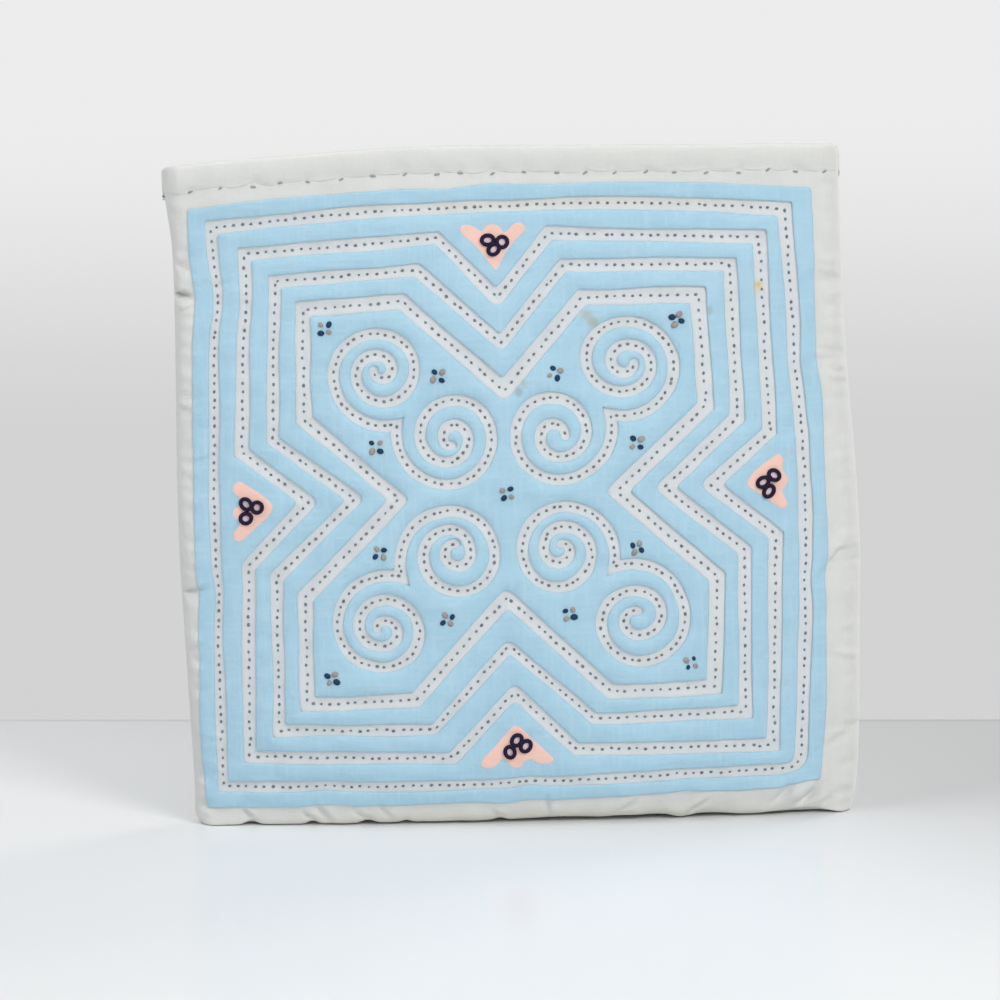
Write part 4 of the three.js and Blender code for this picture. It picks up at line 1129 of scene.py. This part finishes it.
def blue_ring(name, outer, inner, middle_rows):
    """Ring of blue cloth between two closed edges, with turned-under rims."""
    across = inner - outer
    width = np.linalg.norm(across, axis=1)
    insets = [np.full_like(width, inset) for inset, _ in EDGE_PROFILE]
    heights = [height for _, height in EDGE_PROFILE]
    last = EDGE_PROFILE[-1][0]
    middles = [last + (width - 2 * last) * share for share in np.linspace(0, 1, middle_rows + 2)[1:-1]]
    rows = insets + middles + [width - inset for inset in insets[::-1]]
    levels = heights + [BLUE_HEIGHT] * middle_rows + heights[::-1]
    points = []
    for inset, level in zip(rows, levels):
        place = outer + across * (inset / width)[:, None]
        points.append(on_face(*place.T, level))
    facing = (0, FRONT, 0)
    return grid_piece(name + "_cloth", points, blue_cloth, "blue_cotton", (name,), facing, closed=True)


def even_points(loop, spacing):
    """Points of an even triangular grid over the box around a closed line, as x and z."""
    low, high = loop.min(axis=0), loop.max(axis=0)
    row = np.arange(low[1], high[1], spacing * math.sqrt(3) / 2)
    column = np.arange(low[0], high[0], spacing)
    x, z = np.meshgrid(column, row)
    return x + (np.arange(len(row)) % 2)[:, None] * spacing / 2, z


def closed_links(loops):
    """Pairs of neighbours along closed lines whose points follow each other."""
    links = []
    start = 0
    for loop in loops:
        links += [(start + i, start + (i + 1) % len(loop)) for i in range(len(loop))]
        start += len(loop)
    return links


def filled(edges, profile, inner_height, spacing):
    """Sheet inside its first edge and outside the others: triangles in the middle and a strip of profile rows
    along each edge. Each edge is a function of the inset; the profile runs from the rim to the inside."""
    loops = [edge(profile[-1][0]) for edge in edges]
    border = np.vstack(loops)

    def covered(x, z):
        mask = inside_loop(x, z, loops[0])
        for hole in loops[1:]:
            mask &= ~inside_loop(x, z, hole)
        return mask

    x, z = even_points(loops[0], spacing)
    free = covered(x, z) & (distances(tree_of(border), x, z) > spacing * EDGE_CLEARANCE)
    flat = [Vector(point) for point in np.vstack([border, np.stack([x[free], z[free]], axis=1)])]
    places, _, triangles, sources, _, _ = delaunay_2d_cdt(flat, closed_links(loops), [], 0, MERGE, True)
    places = np.array([tuple(place) for place in places])
    triangles = np.array(triangles)
    middle = places[triangles].mean(axis=1)
    triangles = triangles[covered(*middle.T)]
    where = {source: i for i, merged in enumerate(sources) for source in merged}
    levels = np.full(len(places), inner_height)
    levels[[where[i] for i in range(len(border))]] = profile[-1][1]
    points = [on_face(*places.T, levels)]
    faces = [list(face) for face in triangles]
    total = len(places)
    start = 0
    for edge, loop in zip(edges, loops):
        count = len(loop)
        before = [where[start + i] for i in range(count)]
        start += count
        for inset, height in profile[-2::-1]:
            rim = edge(inset)
            points.append(on_face(*rim.T, height))
            here = list(range(total, total + count))
            total += count
            for i in range(count):
                after = (i + 1) % count
                if before[i] != before[after]:
                    faces.append([before[i], before[after], here[after], here[i]])
                else:
                    faces.append([before[i], here[after], here[i]])
            before = here
    return np.vstack(points), faces


def inset_edge(outline):
    """Closed edge as a function of the inset into the cloth."""
    return lambda inset: mitred(outline, np.full(len(outline), -inset), True)


def spiral_edge(path, seed):
    """Edge of the channel around a spiral path, as a function of the inset into the blue."""
    waver = [WAVER * np.clip(wander(len(path), seed + side, *SPIRAL_WAVES), -1, 1) for side in (0, 1)]
    return lambda inset: channel_loop(path, inset, waver)


def blue_field():
    """Blue field with its four double spirals cut through."""
    edges = [inset_edge(star_edge(2, INNER, 47))]
    edges += [spiral_edge(path, 60 + 2 * i) for i, path in enumerate(spiral_paths)]
    points, faces = filled(edges, EDGE_PROFILE[:-1], BLUE_HEIGHT, FIELD_SPACING)
    nodes = ("blue_field",)
    return new_piece("blue_field_cloth", points, faces, blue_cloth, "blue_cotton", nodes, (0, FRONT, 0))


# Pink patches with their rings

def rounded_outline(points):
    """Closed line with each corner cut again and again."""
    for _ in range(PINK_ROUNDING):
        after = np.roll(points, -1, axis=0)
        pairs = [0.75 * points + 0.25 * after, 0.25 * points + 0.75 * after]
        points = np.stack(pairs, axis=1).reshape(-1, 2)
    return points


def pink_patch(name, corners):
    edge = inset_edge(rounded_outline(np.array(corners)))
    points, faces = filled([edge], PINK_PROFILE, PINK_HEIGHT, PINK_SPACING)
    return new_piece(name + "_cloth", points, faces, pink_cloth, "pink_cotton", (name,), (0, FRONT, 0))


def ring_loops():
    """Small embroidered rings, three on each pink patch, each a little different."""
    source = np.random.default_rng(80)
    turn = np.linspace(0, 2 * math.pi, RING_STEPS, endpoint=False)
    loops = []
    for x, z in PINK_RINGS:
        long, tilt = source.uniform(1.0, RING_LONGEST), source.uniform(0, math.pi)
        a = RING_RADIUS * long * np.cos(turn)
        b = RING_RADIUS / long * np.sin(turn)
        px = x + a * math.cos(tilt) - b * math.sin(tilt)
        pz = z + a * math.sin(tilt) + b * math.cos(tilt)
        loops.append(tube(on_face(px, pz, PINK_HEIGHT + RING_SEAT * RING_THREAD), RING_THREAD))
    return new_piece("ring_embroidery", *joined(loops), ring_thread, "pink_cotton")


# Stitches and knots

def running_stitches():
    """Dark stitches along the middle of every white band and spiral."""
    lines = [(line, STITCH_PITCH, True) for line in (square_line, *star_lines)]
    lines += [(path, SPIRAL_STITCH_PITCH, False) for path in spiral_paths]
    spaced = [spaced_along(*line, 90 + i) for i, line in enumerate(lines)]
    place = np.vstack([p for p, _ in spaced])
    ahead = np.vstack([d for _, d in spaced])
    source = np.random.default_rng(89)
    place = place + source.normal(0, STITCH_SHIFT, place.shape)
    sizes = np.array(STITCH_SIZE) * source.normal(1, STITCH_VARIETY, (len(place), 1))
    along = np.stack([ahead[:, 0], np.zeros(len(ahead)), ahead[:, 1]], axis=1)
    middles = on_face(*place.T, STITCH_LIFT)
    normals = face_normals(*place.T)
    return bead_piece("running_stitches", stitch_thread, "white_cotton", middles, along, normals, sizes)


def knots(name, material, rising):
    """The knots of one colour in every cluster; rising tells which diagonal of the cluster takes it."""
    source = np.random.default_rng(100 + rising)
    tilts = np.random.default_rng(99).normal(0, KNOT_TILT, len(KNOT_CLUSTERS))
    places, along = [], []
    for (x, z, navy_rises), tilt in zip(KNOT_CLUSTERS, tilts):
        heading = (1 if navy_rises == rising else -1) * math.pi / 4 + tilt
        for end in (-1, 1):
            reach = end * KNOT_SPREAD * source.uniform(*KNOT_REACH)
            lean = heading + source.normal(0, KNOT_LEAN)
            places.append((x + reach * math.cos(heading), z + reach * math.sin(heading)))
            along.append((math.cos(lean), 0, math.sin(lean)))
    places = np.array(places)
    sizes = KNOT_RADIUS * np.array(KNOT_FORM) * source.normal(1, KNOT_VARIETY, (len(places), 1))
    middles = on_face(*places.T, BLUE_HEIGHT + KNOT_LIFT)
    normals = face_normals(*places.T)
    return bead_piece(name, material, "blue_cotton", middles, np.array(along, float), normals, sizes)


# Hems

def smooth_section(corners):
    """Smooth open line through corners."""
    rows = np.column_stack([np.arange(len(corners)), corners])
    fine = np.linspace(0, len(corners) - 1, (len(corners) - 1) * HEM_STEPS + 1)
    return np.stack([from_table(rows, 1, fine), from_table(rows, 2, fine)], axis=1)


def hem_stitch_places(seed):
    source = np.random.default_rng(seed)
    even = np.linspace(HEM_STITCH_START, HEM_STITCH_END, HEM_STITCHES)
    return even + source.normal(0, HEM_STITCH_SHIFT, HEM_STITCHES)


def hem_columns(drop):
    """Places along a hem, crowded towards its ends, its lower edge there and the distance from its ends."""
    level = float(top_edge(0.0)) - drop - HEM_HEIGHT
    left, right = float(left_edge(level)) - HEM_PROUD, float(right_edge(level)) + HEM_PROUD
    ends = round_steps(HEM_END_COLUMNS, EDGE_RADIUS)
    between_ends = np.linspace(left + EDGE_RADIUS, right - EDGE_RADIUS, HEM_COLUMNS)[1:-1]
    x = np.concatenate([left + ends, between_ends, right - ends[::-1]])
    return x, top_edge(x) - drop - HEM_HEIGHT, np.minimum(x - left, right - x)


def hem(name, depth, side, drop, seed):
    """Folded band over a panel's top edge, drawn in at its stitches and turned into the side seams."""
    section = smooth_section(HEM_SECTION)
    x, foot, end = hem_columns(drop)
    cloth = depth(np.clip(x, left_edge(foot), right_edge(foot)), foot)
    outward = np.broadcast_to(section[:, :1], (len(section), len(x))).copy()
    up = np.broadcast_to(section[:, 1:], (len(section), len(x))).copy()
    pull = sum(bell(x - place, HEM_PULL_WIDTH) for place in hem_stitch_places(seed))
    near_foot = (bell(section[:, 1], HEM_PULL_HEIGHT) * (section[:, 0] > 0))[:, None]
    waves = ripple(x, 0 * x, seed + 1, HEM_WAVE_LENGTH)
    bulges = ripple(x[None, :], section[:, 1:], seed + 2, HEM_BULGE_LENGTH)
    outward -= HEM_PULL_IN * near_foot * pull
    up += HEM_PULL_UP * near_foot * pull + HEM_WAVE * near_foot * waves
    outward += HEM_BULGE * bulges * (outward > HEM_BULGE_FROM)
    turned_in = HEM_END_LEFT + (1 - HEM_END_LEFT) * round_over(end, HEM_END_ROUND)
    outward = np.maximum(outward * turned_in, -HEM_INSIDE * cloth)
    end_drop = HEM_END_DROP * (1 - round_over(end, HEM_END_DROP_REACH))
    up = up - end_drop * ease(up, HEM_END_FROM, HEM_HEIGHT)
    points = np.stack([np.broadcast_to(x, up.shape), side * (cloth + outward), foot + up], axis=-1)
    return grid_piece(name + "_cloth", points, white_plain, "white_cotton", (name,), (0, side, 1))


def hem_stitches(name, depth, side, drop, seed):
    """Slanted grey stitches that catch the lower edge of a hem."""
    source = np.random.default_rng(seed + 7)
    x = hem_stitch_places(seed)
    foot = top_edge(x) - drop - HEM_HEIGHT
    z = foot - HEM_STITCH_DROP + source.normal(0, HEM_STITCH_UNEVEN, len(x))
    middles = np.stack([x, side * (depth(x, z) + HEM_STITCH_LIFT), z], axis=1)
    lean = source.uniform(*HEM_STITCH_LEAN, len(x))
    along = np.stack([np.ones(len(x)), np.zeros(len(x)), lean], axis=1)
    normals = np.broadcast_to((0.0, float(side), 0.0), middles.shape)
    sizes = np.array(HEM_STITCH_SIZE) * source.normal(1, HEM_STITCH_VARIETY, (len(x), 1))
    return bead_piece(name, hem_thread, "white_cotton", middles, along, normals, sizes)


# Zipper

def zipper_top(x):
    return top_edge(x) - BACK_DROP - ZIPPER_SINK


def tape(name, depth, side):
    """Woven tape from the chain out to the panel and down along its inside."""
    x = np.linspace(ZIPPER_LEFT, ZIPPER_RIGHT, TAPE_COLUMNS)
    top = zipper_top(x)
    wall = np.minimum(depth(x, top), depth(x, top - TAPE_LEG)) - TAPE_GAP
    outside = np.maximum(wall, TAPE_LEAST)
    share = np.linspace(0, 1, TAPE_ROWS)[:, None]
    flange_y = TAPE_START + (outside - TAPE_START) * share
    sag = TAPE_SAG * np.sin(math.pi * share) + TAPE_WAVE * ripple(x, 3 * share, 31 + side, TAPE_WAVE_LENGTH)
    flange_z = top - sag * ease(share, 0, TAPE_CALM)
    leg = np.linspace(0, 1, LEG_ROWS + 1)[1:, None]
    y = np.vstack([flange_y, outside + 0 * leg])
    z = np.vstack([flange_z, flange_z[-1] - TAPE_LEG * leg])
    points = np.stack([np.broadcast_to(x, y.shape), side * y, z], axis=-1)
    return grid_piece(name + "_cloth", points, tape_cloth, "zipper_tape", (name,), (0, -side, 1))


def coil():
    """Two rows of nylon loops that mesh along the middle."""
    count = int((ZIPPER_RIGHT - ZIPPER_LEFT) / COIL_PITCH) - 1
    middles = []
    for side, offset in ((FRONT, 0.0), (BACK, 0.5)):
        x = ZIPPER_LEFT + (np.arange(count) + 0.5 + offset) * COIL_PITCH
        middles.append(np.stack([x, np.full(count, side * COIL_ASIDE), zipper_top(x) + COIL_LIFT], axis=1))
    middles = np.vstack(middles)
    along = np.broadcast_to((0.0, 1.0, 0.0), middles.shape)
    normals = np.broadcast_to((0.0, 0.0, 1.0), middles.shape)
    sizes = np.broadcast_to(COIL_SIZE, middles.shape)
    nodes = ("zipper_chain",)
    return bead_piece("zipper_coil", coil_nylon, "zipper_teeth", middles, along, normals, sizes, nodes)


def at_heights(outlines, heights):
    """Flat outlines lifted to heights, as points in space."""
    points = []
    for outline, height in zip(outlines, heights):
        points.append(np.column_stack([outline, np.full(len(outline), height)]))
    return np.vstack(points)


def plate(outline, low, high):
    """Flat plate with an outline in X and Y, as points and faces."""
    count = len(outline)
    faces = [list(range(count))[::-1], list(range(count, 2 * count))]
    faces += grid_faces(2, count, True).tolist()
    return at_heights((outline, outline), (low, high)), faces


def framed_plate(outer, inner, low, high):
    """Flat plate with one hole; both outlines have equally many points."""
    count = len(outer)
    points = at_heights((outer, outer, inner, inner), (low, high, high, low))
    return points, grid_faces(5, count, True) % (4 * count)


def rounded_bar(length, start_width, end_width, steps=10):
    """Outline of a bar with round ends, along X, that may taper."""
    a, b = start_width / 2, end_width / 2
    turn = np.linspace(-math.pi / 2, math.pi / 2, steps)
    far = np.stack([length / 2 - b + b * np.cos(turn), b * np.sin(turn)], axis=1)
    near = np.stack([-length / 2 + a - a * np.cos(turn), -a * np.sin(turn)], axis=1)
    return np.vstack([far, near])


def arch(length, width, rise, thickness, foot, steps=9):
    """Bridge over the slider that holds the pull, its ends at the height of its foot."""
    turn = np.linspace(0, math.pi, steps)
    lines = []
    for radius, height in ((length / 2, rise), (length / 2 - thickness, rise - thickness)):
        lines.append(np.stack([radius * np.cos(turn), height * np.sin(turn)], axis=1))
    ring = np.vstack([lines[0], lines[1][::-1]])
    count = len(ring)
    sides = [np.column_stack([ring[:, 0], np.full(count, y), ring[:, 1]]) for y in (-width / 2, width / 2)]
    faces = grid_faces(2, count, True).tolist()
    for i in range(steps - 1):
        near = [i, i + 1, count - 2 - i, count - 1 - i]
        faces.append(near[::-1])
        faces.append([corner + count for corner in near])
    return np.vstack(sides) + (0, 0, foot), faces


def bevelled(piece):
    """Small bevels along the sharp edges of a piece."""
    work = bmesh.new()
    work.from_mesh(piece.data)
    bmesh.ops.recalc_face_normals(work, faces=work.faces)
    sharp = [edge for edge in work.edges if edge.is_manifold and edge.calc_face_angle() > SHARP_ANGLE]
    bmesh.ops.bevel(work, geom=sharp, offset=SLIDER_BEVEL * MM, segments=2, affect="EDGES")
    work.to_mesh(piece.data)
    work.free()
    piece.data.shade_smooth()
    return piece


def slider():
    """Metal slider with a wedge-shaped body, a bridge and a flat pull lying along the chain."""
    body = plate(rounded_bar(*SLIDER_BODY), *SLIDER_LEVELS)
    flange = rounded_bar(*FLANGE, steps=5)
    flanges = [plate(flange + (FLANGE_AHEAD, side * FLANGE_ASIDE), *FLANGE_LEVELS) for side in (-1, 1)]
    pull_edge = rounded_bar(*PULL) - (PULL_BEHIND, 0)
    pull_hole = rounded_bar(*PULL_HOLE) - (PULL_HOLE_BEHIND, 0)
    pull = framed_plate(pull_edge, pull_hole, *PULL_LEVELS)
    points, faces = joined([body, *flanges, arch(*BRIDGE), pull])
    points = points + (SLIDER_X, 0, float(zipper_top(SLIDER_X)) + SLIDER_LIFT)
    nodes = ("zipper_slider",)
    return bevelled(new_piece("zipper_slider_detail", points, faces, metal, "zipper_metal", nodes))


# Stage, lights and camera

def stage_sheet(name, corners, material):
    """One large quad that isn't part of the object."""
    mesh = bpy.data.meshes.new(name)
    mesh.from_pydata(corners, [], [(0, 1, 2, 3)])
    mesh.materials.append(material)
    sheet = bpy.data.objects.new(name, mesh)
    bpy.context.collection.objects.link(sheet)
    return sheet


def stage_floor():
    """Large pale glossy floor, darkened towards its back right corner by painted shade."""
    material, tree, shader = new_material("floor_gloss")
    along = computed(tree, "VectorMath", "DOT_PRODUCT", object_place(tree), FLOOR_SHADE_DIRECTION)
    clouds = noise_value(tree, scale=1.3, detail=2)
    cloudy = computed(tree, "Math", "MULTIPLY_ADD", clouds, FLOOR_CLOUDS, along)
    # Painted shade: the floor's colour darkens towards the back right, with a cloudy edge
    painted_shade = ramped(tree, cloudy, *FLOOR_SHADE_SPAN, smooth=True)
    feed(tree, shader, {"Base Color": mix_colours(tree, painted_shade, *FLOOR_TONE_AND_PAINTED_SHADE), "Roughness": 0.16, "IOR": 1.18})
    signs = ((-1, -1), (1, -1), (1, 1), (-1, 1))
    stage_sheet("floor", [(x * FLOOR_HALF, y * FLOOR_HALF, -FLOOR_GAP) for x, y in signs], material)


def stage_backdrop():
    """Pale backdrop that shows only from its front and glows with painted light, brighter towards the top."""
    material, tree, _ = new_material("backdrop_painted_glow")
    height = split_place(tree, object_place(tree))["Z"]
    tone = mix_colours(tree, ramped(tree, height, *WALL_SHADE_SPAN, smooth=True), *WALL_TONES)
    # Painted light: the backdrop glows with its own tone instead of being lit by the lamps
    glow = new_node(tree, "Emission", {"Color": tone})
    clear = new_node(tree, "BsdfTransparent", {})
    facing = new_node(tree, "NewGeometry", {})
    shaders = (facing.outputs["Backfacing"], glow.outputs["Emission"], clear.outputs["BSDF"])
    choose = new_node(tree, "MixShader", dict(enumerate(shaders)))
    feed(tree, tree.nodes["Material Output"], {"Surface": choose.outputs["Shader"]})
    corners = ((-WALL_HALF, 0), (WALL_HALF, 0), (WALL_HALF, WALL_HEIGHT), (-WALL_HALF, WALL_HEIGHT))
    wall = stage_sheet("backdrop", [(x, 0, z) for x, z in corners], material)
    wall.matrix_world = Matrix.Translation((0, WALL_DISTANCE, 0)) @ Matrix.Rotation(WALL_SKEW, 4, "Z")
    wall.visible_shadow = False
    wall.visible_diffuse = False


def lamp(name, place, size, power, colour, mirrored):
    """Square lamp aimed at the bag, which shiny things mirror or don't."""
    data = bpy.data.lights.new(name, "AREA")
    data.size = size
    data.energy = power
    data.color = colour
    light = bpy.data.objects.new(name, data)
    light.location = place
    light.rotation_euler = (Vector(LAMP_TARGET) - Vector(place)).to_track_quat("-Z", "Y").to_euler()
    light.visible_camera = False
    light.visible_glossy = mirrored
    bpy.context.collection.objects.link(light)


def surroundings():
    """Even pale light from all sides, and plain tones."""
    world = bpy.data.worlds.new("studio")
    world.use_nodes = True
    tree = world.node_tree
    feed(tree, tree.nodes["Background"], {"Color": SKY_COLOUR, "Strength": SKY_STRENGTH})
    bpy.context.scene.world = world
    bpy.context.scene.view_settings.view_transform = "Standard"


def camera():
    """Camera at the photograph's angle, rolled a little."""
    ahead = Vector((0, math.cos(CAMERA_ELEVATION), -math.sin(CAMERA_ELEVATION)))
    up = Vector((0, math.sin(CAMERA_ELEVATION), math.cos(CAMERA_ELEVATION)))
    side = Vector((1, 0, 0))
    turned_side = side * math.cos(CAMERA_ROLL) - up * math.sin(CAMERA_ROLL)
    turned_up = side * math.sin(CAMERA_ROLL) + up * math.cos(CAMERA_ROLL)
    place = Matrix((turned_side, turned_up, -ahead)).transposed().to_4x4()
    place.translation = (Vector(CAMERA_TARGET) - ahead * CAMERA_DISTANCE) * MM
    data = bpy.data.cameras.new("camera")
    data.lens = CAMERA_LENS
    data.sensor_width = CAMERA_SENSOR
    data.clip_start, data.clip_end = CAMERA_CLIP
    viewer = bpy.data.objects.new("camera", data)
    viewer.matrix_world = place
    bpy.context.collection.objects.link(viewer)
    bpy.context.scene.camera = viewer


camera()
for row in LAMPS:
    lamp(*row)
surroundings()
stage_floor()
stage_backdrop()

front = panel("front_cloth", ground_depth, FRONT, 0.0, white_face, ("front_panel", "base_panel"))
back = panel("back_cloth", back_depth, BACK, BACK_DROP, white_plain, ("back_panel",))
on_front = [
    blue_ring("blue_border", blue_outline, square_edge(OUTER, 41), middle_rows=6),
    blue_ring("blue_ring_outer", square_edge(INNER, 42), star_edge(0, OUTER, 43), middle_rows=14),
    blue_ring("blue_ring_middle", star_edge(0, INNER, 44), star_edge(1, OUTER, 45), middle_rows=4),
    blue_ring("blue_ring_inner", star_edge(1, INNER, 46), star_edge(2, OUTER, 48), middle_rows=4),
    blue_field(),
    *[pink_patch(name, corners) for name, corners in PINK_PATCHES.items()],
    ring_loops(),
    running_stitches(),
    knots("navy_knots", navy_thread, True),
    knots("tan_knots", tan_thread, False),
    hem("front_hem", face_depth, FRONT, 0.0, 110),
    hem_stitches("front_hem_stitches", face_depth, FRONT, 0.0, 110),
]
on_back = [
    hem("back_hem", back_depth, BACK, BACK_DROP, 120),
    hem_stitches("back_hem_stitches", back_depth, BACK, BACK_DROP, 120),
]
tape("zipper_tape_front", face_depth, FRONT)
tape("zipper_tape_back", back_depth, BACK)
coil()
slider()
